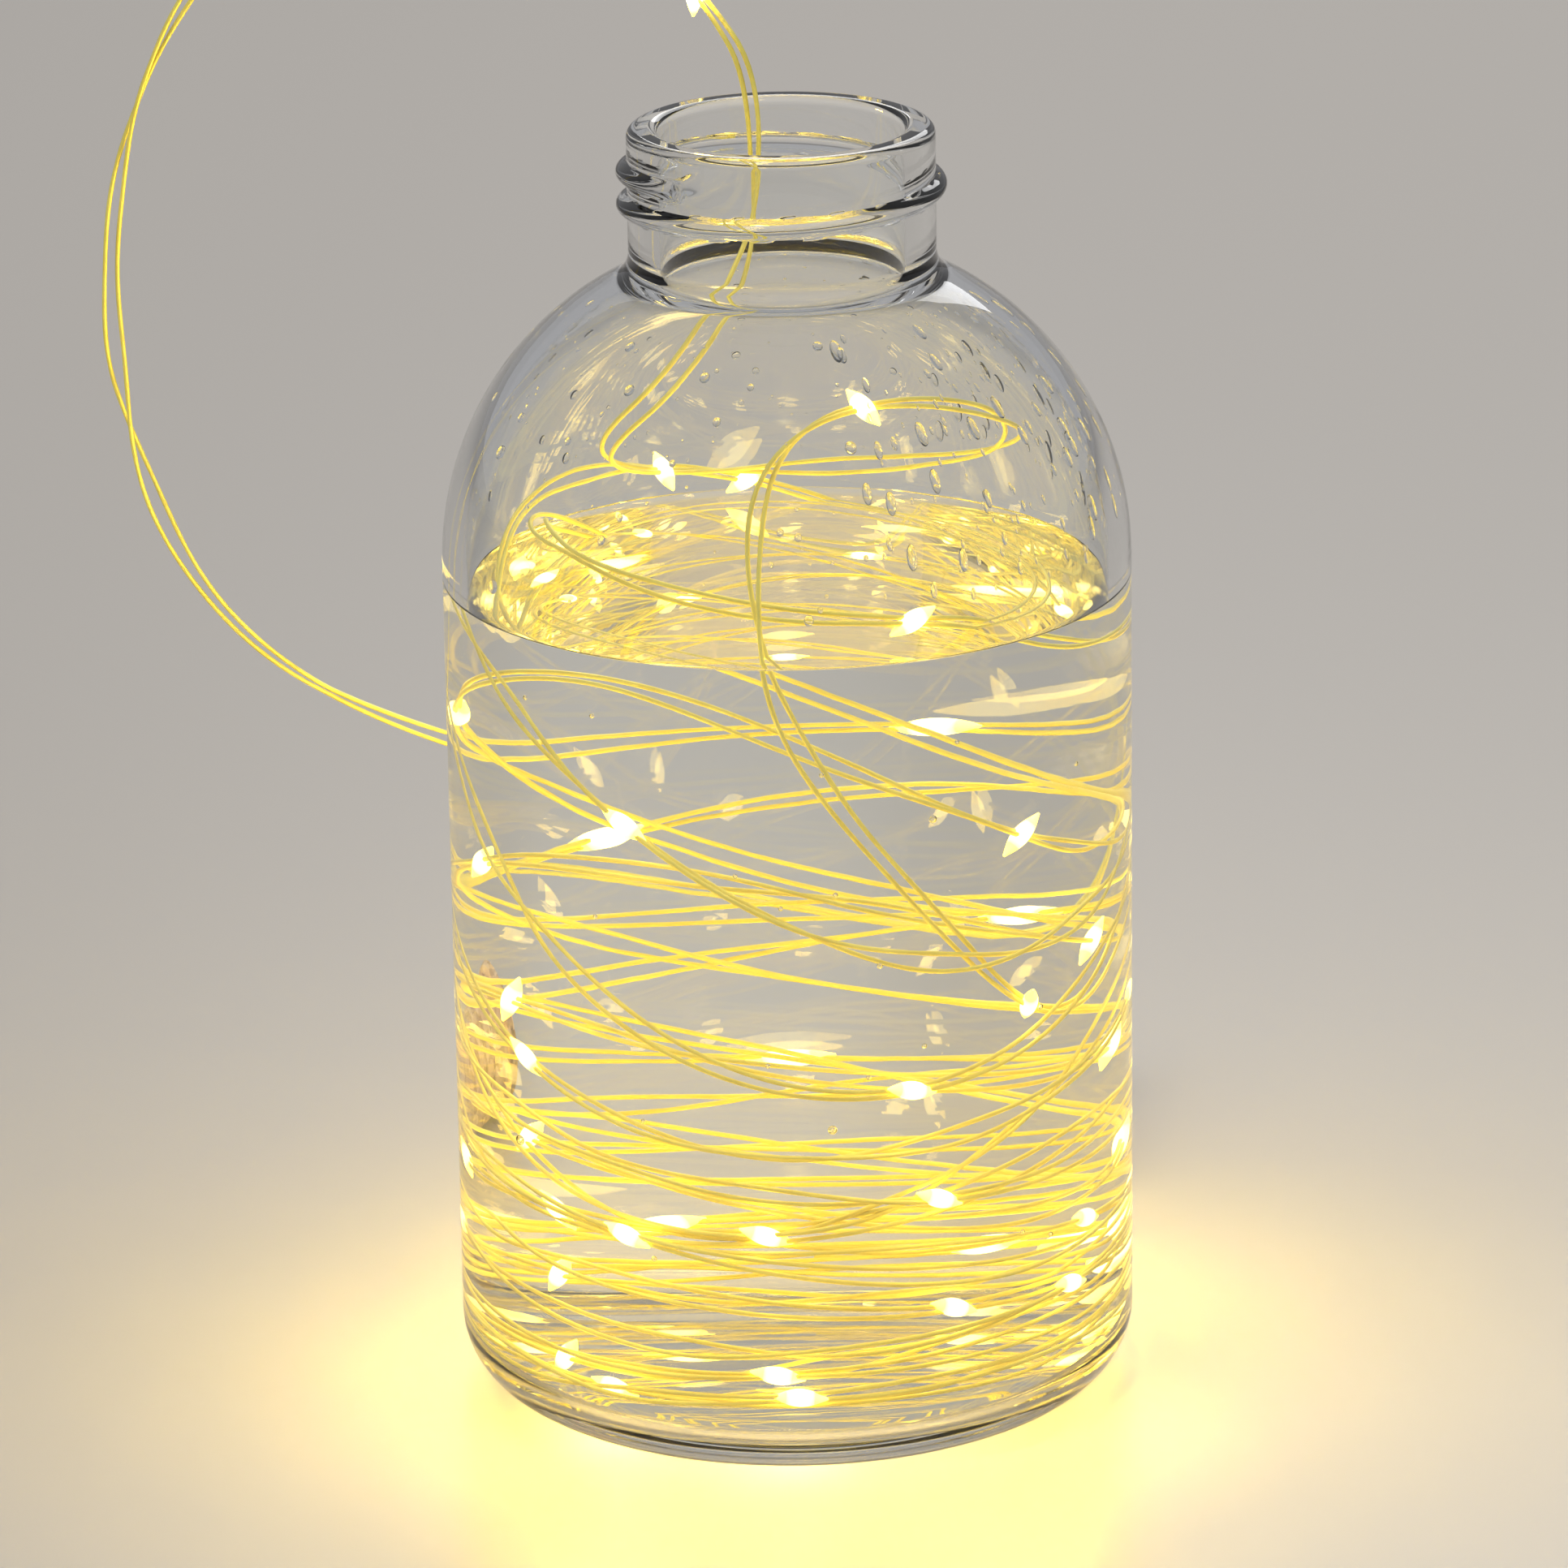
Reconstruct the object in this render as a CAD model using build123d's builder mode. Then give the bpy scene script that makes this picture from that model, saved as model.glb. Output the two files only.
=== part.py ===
from build123d import *
import math
import os

os.makedirs("parts", exist_ok=True)

# Sizes are in millimetres, +Z is up and the origin is at the middle of the bottle's base.

# Glass bottle
body_diameter = 88.5
bottle_height = 167.5
wall = 3.0
base_thickness = 5.0
push_up = 2.5
bearing_ring_width = 4.0
heel_radius = 9.0
shoulder_radius = 41.5
neck_length = 18.6
neck_diameter = 39.2
mouth_diameter = 31.2
neck_foot_fillet = 4.0
mouth_foot_fillet = 2.0
rim_round = 1.3

# Light string: enamelled twin wire with lamps potted in epoxy drops
wire_diameter = 1.0
drop_length = 5.6
drop_diameter = 2.9
drop_end_diameter = 2.2
drop_barrel = 2.4
drop_bore_clearance = 0.4
lamp_spacing = 100.0
lamp_on_lead = 311.0
lamps_on_lead = 4
lamps_in_coil = 46
wall_clearance = 0.55
least_wire_gap = 0.4

# Loops inside the bottle, counted in turns from the free tip of the string
climb_end = 6.4
crest_turn = 7.4
dip_start = 8.3
fall_end = 14.2
coil_turns = 20.3
nodes_per_turn = 6
layer_step = 4.4
inner_layer_step = 3.5
gather = 1.35
tip_rise = 7.0
floor_rise = 4.2
belt_below_shoulder = 21.0
crest_above_shoulder = 5.0
coil_exit_height = 58.0
floor_lean = 2.0
belt_lean = 20.0
crest_lean = 8.0
lean_per_turn = 22.0
coil_exit_angle = -20.0
layer_change = 1.4
strand_angle = -43.0
strand_rise = 4.0
neck_x = -3.4
lean_above_mouth_foot = 5.0
bend_over_rim = 3.0
straight_at_grommet = 10.0

# Cork stopper
stopper_gap = 24.5
stopper_x = 30.0
floor_gap = 0.1
sleeve_tip_radius = 8.7
sleeve_mouth_radius = 9.9
sleeve_bore_radius = 7.7
sleeve_end_wall = 2.4
sleeve_edge_round = 0.8
cap_radius = 11.0
cap_thickness = 4.0
cap_plate = 1.4
cap_edge_round = 0.9
cap_seat_gap = 0.1
cap_socket_clearance = 0.05
dish_radius = 5.4
dish_depth = 0.5
grommet_radius = 1.9
grommet_lip = 0.8
grommet_lip_radius = 2.7
grommet_nose = 3.2
grommet_nose_radius = 1.2
slack_room = 9.6
slack_turns = 2
slack_pitch = 1.5
slack_radius = 3.9

# Battery carrier and what it holds
carrier_clearance = 0.25
carrier_foot = 1.4
carrier_head = 1.4
carrier_in_cap = 1.5
board_thickness = 0.8
board_radius = 6.6
cell_diameter = 11.6
cell_height = 5.4
cell_cap_height = 0.6
cell_cap_diameter = 9.6
cell_edge_round = 0.35
cell_count = 3
cell_gap = 0.02
cell_clearance = 0.2
spring_length = 3.2
spring_wire = 0.6
spring_base_radius = 4.1
spring_tip_radius = 2.6
spring_turns = 2.5
spring_hole_clearance = 0.5
strip_thickness = 0.3
strip_width = 2.0
strip_clearance = 0.2
strip_cover = 0.35
contact_plate_width = 6.0
contact_tab_reach = 4.6
resistor_length = 2.0
resistor_width = 1.2
resistor_height = 0.6
resistor_offset = 4.2

# Slide switch
case_length = 8.0
case_width = 4.0
case_height = 3.6
case_wall = 0.35
case_headroom = 0.2
pin_width = 1.2
pin_reach = 1.6
pin_gap = 1.2
slider_length = 2.6
slider_width = 1.8
slider_base_length = 4.0
slider_base_height = 0.9
slider_proud = 1.0
switch_travel = 2.0
slide_clearance = 0.3
touch_clearance = 0.1
bridge_length = 1.6
bridge_overlap = 0.8
bridge_thickness = 0.25

# Sizes that follow from those above
body_radius = body_diameter / 2
neck_radius = neck_diameter / 2
mouth_radius = mouth_diameter / 2
wire_radius = wire_diameter / 2
inside_radius = body_radius - wall
shoulder_centre = body_radius - shoulder_radius
lamp_radius = drop_diameter / 2


def ring_edges(part, radius, height):
    return part.edges().filter_by(
        lambda edge: edge.geom_type == GeomType.CIRCLE
        and abs(edge.radius - radius) < 0.01
        and abs(edge.arc_center.Z - height) < 0.01
    )


def finish(builder, label):
    builder.part.label = label
    export_step(builder.part, f"parts/{label}.step")


# Bottle: one revolved wall with a push-up base, a domed shoulder and a wide straight neck
inner_shoulder_radius = shoulder_radius - wall
inner_heel_radius = heel_radius - wall
neck_foot_angle = math.degrees(math.acos((neck_radius - shoulder_centre) / shoulder_radius))
mouth_foot_angle = math.degrees(math.acos((mouth_radius - shoulder_centre) / inner_shoulder_radius))
neck_foot_height = bottle_height - neck_length
shoulder_start = neck_foot_height - shoulder_radius * math.sin(math.radians(neck_foot_angle))
mouth_foot_height = shoulder_start + inner_shoulder_radius * math.sin(math.radians(mouth_foot_angle))
heel_edge = body_radius - heel_radius
bearing_inner_radius = heel_edge - bearing_ring_width
inner_heel_edge = inside_radius - inner_heel_radius

with BuildPart() as bottle:
    with BuildSketch(Plane.XZ):
        with BuildLine():
            Line((0, push_up), (0, base_thickness + push_up))
            TangentArc(
                (0, base_thickness + push_up), (inner_heel_edge, base_thickness), tangent=(1, 0)
            )
            CenterArc(
                (inner_heel_edge, base_thickness + inner_heel_radius), inner_heel_radius, 270, 90
            )
            Line(
                (inside_radius, base_thickness + inner_heel_radius), (inside_radius, shoulder_start)
            )
            CenterArc((shoulder_centre, shoulder_start), inner_shoulder_radius, 0, mouth_foot_angle)
            Polyline(
                (mouth_radius, mouth_foot_height),
                (mouth_radius, bottle_height),
                (neck_radius, bottle_height),
                (neck_radius, neck_foot_height),
            )
            CenterArc(
                (shoulder_centre, shoulder_start), shoulder_radius, neck_foot_angle, -neck_foot_angle
            )
            Line((body_radius, shoulder_start), (body_radius, heel_radius))
            CenterArc((heel_edge, heel_radius), heel_radius, 0, -90)
            Line((heel_edge, 0), (bearing_inner_radius, 0))
            TangentArc((0, push_up), (bearing_inner_radius, 0), tangent=(1, 0))
        make_face()
    revolve(axis=Axis.Z)
    fillet(ring_edges(bottle.part, neck_radius, neck_foot_height), neck_foot_fillet)
    fillet(ring_edges(bottle.part, mouth_radius, mouth_foot_height), mouth_foot_fillet)
    fillet(ring_edges(bottle.part, neck_radius, bottle_height), rim_round)
    fillet(ring_edges(bottle.part, mouth_radius, bottle_height), rim_round)
finish(bottle, "bottle")


# Loops of the light string: each pass round the bottle keeps to its own radius
outer_loop_radius = inside_radius - lamp_radius - wall_clearance
middle_loop_radius = outer_loop_radius - layer_step
inner_loop_radius = middle_loop_radius - inner_layer_step
floor_height = base_thickness + floor_rise
belt_height = shoulder_start - belt_below_shoulder
crest_height = shoulder_start + crest_above_shoulder
coil_heights = [
    (0, base_thickness + tip_rise),
    (climb_end, belt_height),
    (crest_turn, crest_height),
    (dip_start, belt_height),
    (fall_end, floor_height),
    (coil_turns, coil_exit_height),
]


def ease(value):
    held = min(max(value, 0), 1)
    return held * held * (3 - 2 * held)


# Loops lie closest at the floor and spread towards the belt and the crest
def coil_level(turn):
    spans = list(zip(coil_heights, coil_heights[1:]))
    for (from_turn, from_height), (to_turn, to_height) in spans:
        if turn <= to_turn or to_turn == coil_turns:
            share = min(max((turn - from_turn) / (to_turn - from_turn), 0), 1)
            low, high = sorted((from_height, to_height))
            risen = share if to_height > from_height else 1 - share
            return low + risen**gather * (high - low)


def coil_point(turn):
    inward = ease((turn - climb_end) / layer_change)
    outward = ease((turn - fall_end) / layer_change + 0.5)
    radius = outer_loop_radius - inward * (outer_loop_radius - inner_loop_radius)
    radius += outward * (middle_loop_radius - inner_loop_radius)
    level = coil_level(turn)
    lean_share = min(max((level - floor_height) / (belt_height - floor_height), 0), 1)
    over_belt = max((level - belt_height) / (crest_height - belt_height), 0)
    lean = floor_lean + lean_share * (belt_lean - floor_lean) - over_belt * (belt_lean - crest_lean)
    angle = math.radians(coil_exit_angle) + 2 * math.pi * (coil_turns - turn)
    tilt = lean * math.cos(angle - math.radians(lean_per_turn * turn))
    return Vector(radius * math.cos(angle), radius * math.sin(angle), level + tilt)


def coil_way(turn, step=0.1):
    return (coil_point(turn + step) - coil_point(turn - step)).normalized()


def biarc(start, start_way, end, end_way):
    gap = end - start
    ways = start_way + end_way
    bend = 2 * (1 - start_way.dot(end_way))
    along = gap.dot(ways)
    reach = (math.sqrt(along * along + bend * gap.dot(gap)) - along) / bend
    first_corner = start + start_way * reach
    last_corner = end - end_way * reach
    middle = (first_corner + last_corner) * 0.5
    TangentArc(start, middle, tangent=start_way)
    TangentArc(middle, end, tangent=(last_corner - first_corner).normalized())


def biarc_chain(stations):
    for (start, start_way), (end, end_way) in zip(stations, stations[1:]):
        biarc(start, start_way, end, end_way)


def points_along(path, spacing):
    points = []
    for edge in path.edges():
        count = math.ceil(edge.length / spacing)
        points += [edge.position_at(index / count) for index in range(count)]
    return points


def least_gap(points, spacing, diameter):
    cell = 3 * diameter
    apart = math.ceil(2 * cell / spacing)
    grid = {}
    nearest = cell
    for index, point in enumerate(points):
        home = tuple(int(value // cell) for value in point)
        for dx in (-1, 0, 1):
            for dy in (-1, 0, 1):
                for dz in (-1, 0, 1):
                    for other in grid.get((home[0] + dx, home[1] + dy, home[2] + dz), []):
                        if index - other > apart:
                            nearest = min(nearest, (point - points[other]).length)
        grid.setdefault(home, []).append(index)
    return nearest - diameter


# Stopper frame: z runs along the stopper from its narrow end to its cap, y is up
carrier_radius = sleeve_bore_radius - carrier_clearance
cell_radius = cell_diameter / 2
bay_radius = cell_radius + cell_clearance
board_under = sleeve_end_wall + slack_room
board_top = board_under + board_thickness
foot_top = board_top + carrier_foot
cells_start = board_top + spring_length
cells_end = cells_start + cell_count * cell_height + (cell_count - 1) * cell_gap
head_under = cells_end + strip_thickness
head_top = head_under + carrier_head
case_top = head_top + case_height
cap_top = case_top + case_headroom + cap_plate
cap_under = cap_top - cap_thickness
sleeve_length = cap_under - cap_seat_gap
carrier_top = cap_under + carrier_in_cap

stopper_tilt = math.atan2(cap_radius - sleeve_tip_radius, cap_under)
stopper_way = Vector(0, math.cos(stopper_tilt), math.sin(stopper_tilt))
stopper_tip_y = math.sqrt(body_radius**2 - stopper_x**2) + stopper_gap
stopper_tip_z = sleeve_tip_radius * math.cos(stopper_tilt) + floor_gap
stopper = Plane(
    origin=(stopper_x, stopper_tip_y, stopper_tip_z), x_dir=(-1, 0, 0), z_dir=stopper_way
)
stopper_axis = Axis(stopper.origin, stopper.z_dir)
stopper_profile = Plane(origin=stopper.origin, x_dir=stopper.x_dir, z_dir=-stopper.y_dir)
stopper_side = Plane(origin=stopper.origin, x_dir=stopper.y_dir, z_dir=stopper.x_dir)


def across(height):
    return stopper.offset(height)


def in_stopper(x, y, z):
    return stopper.from_local_coords(Vector(x, y, z))


# Free stretch of the wire: up the front, round under the shoulder, out of the neck and behind the bottle
free_radius = (outer_loop_radius + middle_loop_radius) / 2
front = -free_radius
lean_in_neck = mouth_radius - wire_radius - least_wire_gap
neck_y = math.sqrt(lean_in_neck**2 - neck_x**2)
strand_way = math.radians(strand_angle)
coil_end = coil_point(coil_turns)
strand_start = Vector(
    free_radius * math.cos(strand_way), free_radius * math.sin(strand_way), coil_end.Z + strand_rise
)
wire_way = (strand_start - coil_end).normalized()
coil_stub = coil_end + wire_way * wire_diameter
lead_route = [
    coil_stub,
    strand_start,
    Vector(15.5, front + 3.7, mouth_foot_height - 72),
    Vector(4.5, front + 0.7, mouth_foot_height - 57),
    Vector(-2.5, front + 0.9, mouth_foot_height - 43),
    Vector(-4.5, front + 4, mouth_foot_height - 29),
    Vector(-3, front + 9, mouth_foot_height - 18),
    Vector(4, front + 14, mouth_foot_height - 12),
    Vector(15, -20, mouth_foot_height - 11),
    Vector(25, -12, mouth_foot_height - 14.5),
    Vector(30, 1, mouth_foot_height - 20.5),
    Vector(28, 15, mouth_foot_height - 27),
    Vector(18, 25, mouth_foot_height - 31),
    Vector(4, 28.5, mouth_foot_height - 32.5),
    Vector(-9.5, 25.5, mouth_foot_height - 32),
    Vector(-19, 16.5, mouth_foot_height - 29.5),
    Vector(-23.5, 5.5, mouth_foot_height - 25),
    Vector(-22, -5, mouth_foot_height - 19),
    Vector(-15.5, -9, mouth_foot_height - 12.5),
    Vector(-10, -5, mouth_foot_height - 6.5),
    Vector(-6.5, 3.5, mouth_foot_height - 2),
    Vector(neck_x, neck_y, mouth_foot_height + lean_above_mouth_foot),
    Vector(neck_x, neck_y, bottle_height + bend_over_rim),
    Vector(-8.5, 18.3, bottle_height + 11),
    Vector(-18, 25, bottle_height + 20.5),
    Vector(-33, 34, bottle_height + 26.5),
    Vector(-51, 44, bottle_height + 27),
    Vector(-68, 52, bottle_height + 18.5),
    Vector(-81, 58, bottle_height + 2.5),
    Vector(-89, 62.5, bottle_height - 17.5),
    Vector(-91.5, 65, 128),
    Vector(-89, 66, 108),
    Vector(-82, 66, 90),
    Vector(-70, 66, 76.5),
    Vector(-53, 66.5, 67.5),
    Vector(-33, 66, 61.5),
    Vector(-13, 62, 57),
    Vector(6, 55, 50),
    Vector(20, 48, 40.5),
    Vector(28, 43.5, 30),
    Vector(stopper_x, 41, 19.5),
    in_stopper(0, 0, -grommet_nose - straight_at_grommet),
    in_stopper(0, 0, sleeve_end_wall + grommet_lip),
]


def route_radii(points, share_of_run=0.45):
    radii = []
    for before, corner, after in zip(points, points[1:], points[2:]):
        turn = math.radians((corner - before).get_angle(after - corner))
        shorter = min((corner - before).length, (after - corner).length)
        radii.append(share_of_run * shorter / math.tan(turn / 2))
    return radii


lead_radii = route_radii(lead_route)

# String wire: the loops inside the bottle, one unbroken tube that ends in a straight stub
station_count = round(coil_turns * nodes_per_turn)
coil_stations = []
for station in range(station_count):
    station_turn = coil_turns * station / station_count
    coil_stations.append((coil_point(station_turn), coil_way(station_turn)))
coil_stations.append((coil_end, wire_way))

with BuildPart() as string_wire:
    with BuildLine() as coil_path:
        biarc_chain(coil_stations)
        Line(coil_end, coil_stub)
    with BuildSketch(Plane(origin=coil_stations[0][0], z_dir=coil_stations[0][1])):
        Circle(wire_radius)
    sweep()
finish(string_wire, "string_wire")

# Lead wire: straight runs joined by wide arcs, ending in the stopper's grommet
with BuildPart() as lead_wire:
    with BuildLine() as lead_path:
        FilletPolyline(*lead_route, radius=lead_radii)
    with BuildSketch(Plane(origin=coil_stub, z_dir=wire_way)):
        Circle(wire_radius)
    sweep()
finish(lead_wire, "lead_wire")

# Lamps: drops threaded on the wire at an even spacing, the first of them just above the rim
coil_wire = Wire(coil_path.edges())
lead_wire_path = Wire(lead_path.edges())
drop_bore_radius = wire_radius + drop_bore_clearance


def lamp_place(path, distance):
    share = distance / path.length
    return Plane(origin=path.position_at(share), z_dir=path.tangent_at(share)).location


lead_lamps = [lamp_on_lead - lamp_spacing * lamp for lamp in range(lamps_on_lead)]
first_coil_lamp = coil_wire.length + lead_lamps[-1] - lamp_spacing
lamp_places = [lamp_place(lead_wire_path, distance) for distance in lead_lamps]
for lamp in range(lamps_in_coil):
    lamp_places.append(lamp_place(coil_wire, first_coil_lamp - lamp_spacing * lamp))

with BuildPart() as led_drop:
    with BuildSketch(Plane.XZ):
        with BuildLine():
            Polyline(
                (drop_bore_radius, drop_length / 2),
                (drop_end_diameter / 2, drop_length / 2),
                (lamp_radius, drop_barrel / 2),
                (lamp_radius, -drop_barrel / 2),
                (drop_end_diameter / 2, -drop_length / 2),
                (drop_bore_radius, -drop_length / 2),
                close=True,
            )
        make_face()
    revolve(axis=Axis.Z)

with BuildPart() as led_drops:
    with Locations(*lamp_places):
        add(led_drop.part)
finish(led_drops, "led_drops")

# Stopper sleeve: a tapered cork shell with a closed narrow end
with BuildPart() as stopper_sleeve:
    with BuildSketch(stopper_profile):
        with BuildLine():
            Polyline(
                (grommet_radius, 0),
                (sleeve_tip_radius, 0),
                (sleeve_mouth_radius, sleeve_length),
                (sleeve_bore_radius, sleeve_length),
                (sleeve_bore_radius, sleeve_end_wall),
                (grommet_radius, sleeve_end_wall),
                close=True,
            )
        outline = make_face()
        tip_corner = outline.vertices().sort_by(Axis(stopper.origin, stopper.z_dir))[:2]
        fillet(tip_corner.sort_by_distance(stopper.origin)[-1], sleeve_edge_round)
    revolve(axis=stopper_axis)
finish(stopper_sleeve, "stopper_sleeve")

# Wire grommet: a lipped bush with a tapered nose
with BuildPart() as wire_grommet:
    with BuildSketch(stopper_profile):
        with BuildLine():
            Polyline(
                (wire_radius + touch_clearance, -grommet_nose),
                (grommet_nose_radius, -grommet_nose),
                (grommet_lip_radius, -grommet_lip),
                (grommet_lip_radius, 0),
                (grommet_radius, 0),
                (grommet_radius, sleeve_end_wall),
                (grommet_lip_radius, sleeve_end_wall),
                (grommet_lip_radius, sleeve_end_wall + grommet_lip),
                (wire_radius + touch_clearance, sleeve_end_wall + grommet_lip),
                close=True,
            )
        make_face()
    revolve(axis=stopper_axis)
finish(wire_grommet, "wire_grommet")

# Slack wire: spare turns between the grommet and the board, drawn out when the carrier is pulled
slack_start = sleeve_end_wall + grommet_lip
slack_rise = slack_turns * slack_pitch
slack_lead = (board_under - slack_start - slack_rise) / 2


def slack_point(turn):
    angle = 2 * math.pi * turn
    height = slack_start + slack_lead + slack_pitch * turn
    return in_stopper(slack_radius * math.cos(angle), slack_radius * math.sin(angle), height)


def slack_station(turn, step=0.05):
    return slack_point(turn), (slack_point(turn + step) - slack_point(turn - step)).normalized()


slack_foot = in_stopper(0, 0, slack_start + wire_diameter)
slack_head = in_stopper(0, 0, board_under - wire_diameter)
slack_stations = [(slack_foot, stopper.z_dir)]
slack_stations += [slack_station(quarter / 4) for quarter in range(4 * slack_turns + 1)]
slack_stations.append((slack_head, stopper.z_dir))

with BuildPart() as slack_wire:
    with BuildLine() as slack_path:
        Line(in_stopper(0, 0, slack_start), slack_foot)
        biarc_chain(slack_stations)
        Line(slack_head, in_stopper(0, 0, board_under))
    with BuildSketch(across(slack_start)):
        Circle(wire_radius)
    sweep()
finish(slack_wire, "slack_wire")

# Battery carrier: a tube with an open cell bay, a foot ring, a head wall and a switch chamber
strip_outer = carrier_radius - strip_cover
strip_inner = strip_outer - strip_thickness
groove_depth = carrier_radius - strip_inner + strip_clearance
slot_width = strip_width + 2 * strip_clearance
spring_hole_radius = spring_base_radius + spring_wire / 2 + spring_hole_clearance

with BuildPart() as battery_carrier:
    with BuildSketch(across(board_top)):
        Circle(carrier_radius)
    extrude(amount=carrier_top - board_top)
    with BuildSketch(across(board_top)):
        Circle(spring_hole_radius)
    extrude(amount=carrier_foot, mode=Mode.SUBTRACT)
    with BuildSketch(across(foot_top)):
        Circle(bay_radius)
        with Locations((0, carrier_radius / 2)):
            Rectangle(2 * bay_radius, carrier_radius)
    extrude(amount=head_under - foot_top, mode=Mode.SUBTRACT)
    with BuildSketch(across(head_top)):
        Circle(bay_radius)
    extrude(amount=carrier_top - head_top, mode=Mode.SUBTRACT)
    with BuildSketch(across(head_under)):
        with Locations((0, contact_tab_reach + strip_thickness / 2)):
            Rectangle(slot_width, strip_thickness + 2 * strip_clearance)
    extrude(amount=carrier_head, mode=Mode.SUBTRACT)
    with BuildSketch(across(board_top)):
        with Locations((0, groove_depth / 2 - carrier_radius)):
            Rectangle(slot_width, groove_depth)
    extrude(amount=carrier_top - board_top, mode=Mode.SUBTRACT)
    with BuildSketch(across(head_top)):
        with Locations((0, -(bay_radius + carrier_radius) / 2)):
            Rectangle(slot_width, carrier_radius - bay_radius + 2 * strip_clearance)
    extrude(amount=2 * strip_thickness, mode=Mode.SUBTRACT)
finish(battery_carrier, "battery_carrier")

# Stopper cap: a flanged lid that sits on the sleeve and holds the carrier's upper end
slider_slot_length = slider_length + switch_travel + 2 * slide_clearance
slider_slot_width = slider_width + 2 * slide_clearance

with BuildPart() as stopper_cap:
    with BuildSketch(across(cap_under)):
        Circle(cap_radius)
    extrude(amount=cap_thickness)
    fillet(stopper_cap.edges().filter_by(GeomType.CIRCLE), cap_edge_round)
    with BuildSketch(across(cap_under)):
        Circle(carrier_radius + cap_socket_clearance)
    extrude(amount=carrier_in_cap, mode=Mode.SUBTRACT)
    with BuildSketch(across(cap_under)):
        Circle(bay_radius)
    extrude(amount=cap_thickness - cap_plate, mode=Mode.SUBTRACT)
    with BuildSketch(across(cap_top - dish_depth)):
        Circle(dish_radius)
    extrude(amount=dish_depth, mode=Mode.SUBTRACT)
    with BuildSketch(across(cap_top - cap_plate)):
        Rectangle(slider_slot_length, slider_slot_width)
    extrude(amount=cap_plate, mode=Mode.SUBTRACT)
finish(stopper_cap, "stopper_cap")

# Button cells: a stack with each negative cap towards the spring
for cell in range(cell_count):
    cell_start = cells_start + cell * (cell_height + cell_gap)
    with BuildPart() as button_cell:
        with BuildSketch(across(cell_start + cell_cap_height)):
            Circle(cell_radius)
        extrude(amount=cell_height - cell_cap_height)
        fillet(button_cell.edges().filter_by(GeomType.CIRCLE), cell_edge_round)
        with BuildSketch(across(cell_start)):
            Circle(cell_cap_diameter / 2)
        extrude(amount=cell_cap_height)
    finish(button_cell, f"button_cell_{cell + 1}")

# Negative spring: a conical coil between the board and the first cell
spring_low = board_top + spring_wire / 2
spring_high = cells_start - spring_wire / 2


def spring_point(turn):
    share = turn / spring_turns
    angle = 2 * math.pi * turn
    radius = spring_base_radius + share * (spring_tip_radius - spring_base_radius)
    height = spring_low + share * (spring_high - spring_low)
    return in_stopper(radius * math.cos(angle), radius * math.sin(angle), height)


def spring_station(turn, step=0.05):
    return spring_point(turn), (spring_point(turn + step) - spring_point(turn - step)).normalized()


spring_stations = [spring_station(quarter / 4) for quarter in range(round(4 * spring_turns) + 1)]

with BuildPart() as negative_spring:
    with BuildLine() as spring_path:
        biarc_chain(spring_stations)
    with BuildSketch(Plane(origin=spring_stations[0][0], z_dir=spring_stations[0][1])):
        Circle(spring_wire / 2)
    sweep()
finish(negative_spring, "negative_spring")

# Positive contact: a plate under the head wall, with a tab folded up through it
with BuildPart() as positive_contact:
    with BuildSketch(across(cells_end)):
        Rectangle(contact_plate_width, 2 * (contact_tab_reach + strip_thickness))
    extrude(amount=strip_thickness)
    with BuildSketch(across(head_under)):
        with Locations((0, contact_tab_reach + strip_thickness / 2)):
            Rectangle(strip_width, strip_thickness)
    extrude(amount=carrier_head + strip_thickness)
    with BuildSketch(across(head_top)):
        with Locations((0, contact_tab_reach - pin_reach / 2)):
            Rectangle(strip_width, pin_reach)
    extrude(amount=strip_thickness)
finish(positive_contact, "positive_contact")

# Contact strip: from the switch, down the groove of the carrier, to the underside of the board
pin_end = case_width / 2 + pin_reach

with BuildPart() as contact_strip:
    with BuildSketch(stopper_side):
        with BuildLine():
            Polyline(
                (-pin_end + pin_reach / 2, head_top),
                (-strip_inner, head_top),
                (-strip_inner, board_under),
                (-strip_inner + pin_reach, board_under),
                (-strip_inner + pin_reach, board_under - strip_thickness),
                (-strip_outer, board_under - strip_thickness),
                (-strip_outer, head_top + strip_thickness),
                (-pin_end + pin_reach / 2, head_top + strip_thickness),
                close=True,
            )
        make_face()
    extrude(amount=strip_width / 2, both=True)
finish(contact_strip, "contact_strip")

# Circuit board and the series resistor under it
with BuildPart() as circuit_board:
    with BuildSketch(across(board_under)):
        Circle(board_radius)
    extrude(amount=board_thickness)
finish(circuit_board, "circuit_board")

with BuildPart() as series_resistor:
    with BuildSketch(across(board_under - resistor_height)):
        with Locations((0, resistor_offset)):
            Rectangle(resistor_length, resistor_width)
    extrude(amount=resistor_height)
finish(series_resistor, "series_resistor")

# Slide switch: a case with a slot in its roof and two flat pins on its floor
case_floor = strip_thickness
slider_rest_x = -switch_travel / 2
pin_floor = head_top + case_floor

with BuildPart() as switch_case:
    with BuildSketch(across(head_top)):
        Rectangle(case_length, case_width)
    extrude(amount=case_height)
    with BuildSketch(across(pin_floor)):
        Rectangle(case_length - 2 * case_wall, case_width - 2 * case_wall)
    extrude(amount=case_height - case_floor - case_wall, mode=Mode.SUBTRACT)
    with BuildSketch(across(case_top - case_wall)):
        Rectangle(slider_slot_length, slider_slot_width)
    extrude(amount=case_wall, mode=Mode.SUBTRACT)
    with BuildSketch(across(pin_floor)):
        with Locations((slider_rest_x, 0)):
            Rectangle(pin_width + 2 * touch_clearance, case_width)
    extrude(amount=strip_thickness + touch_clearance, mode=Mode.SUBTRACT)
finish(switch_case, "switch_case")

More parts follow.
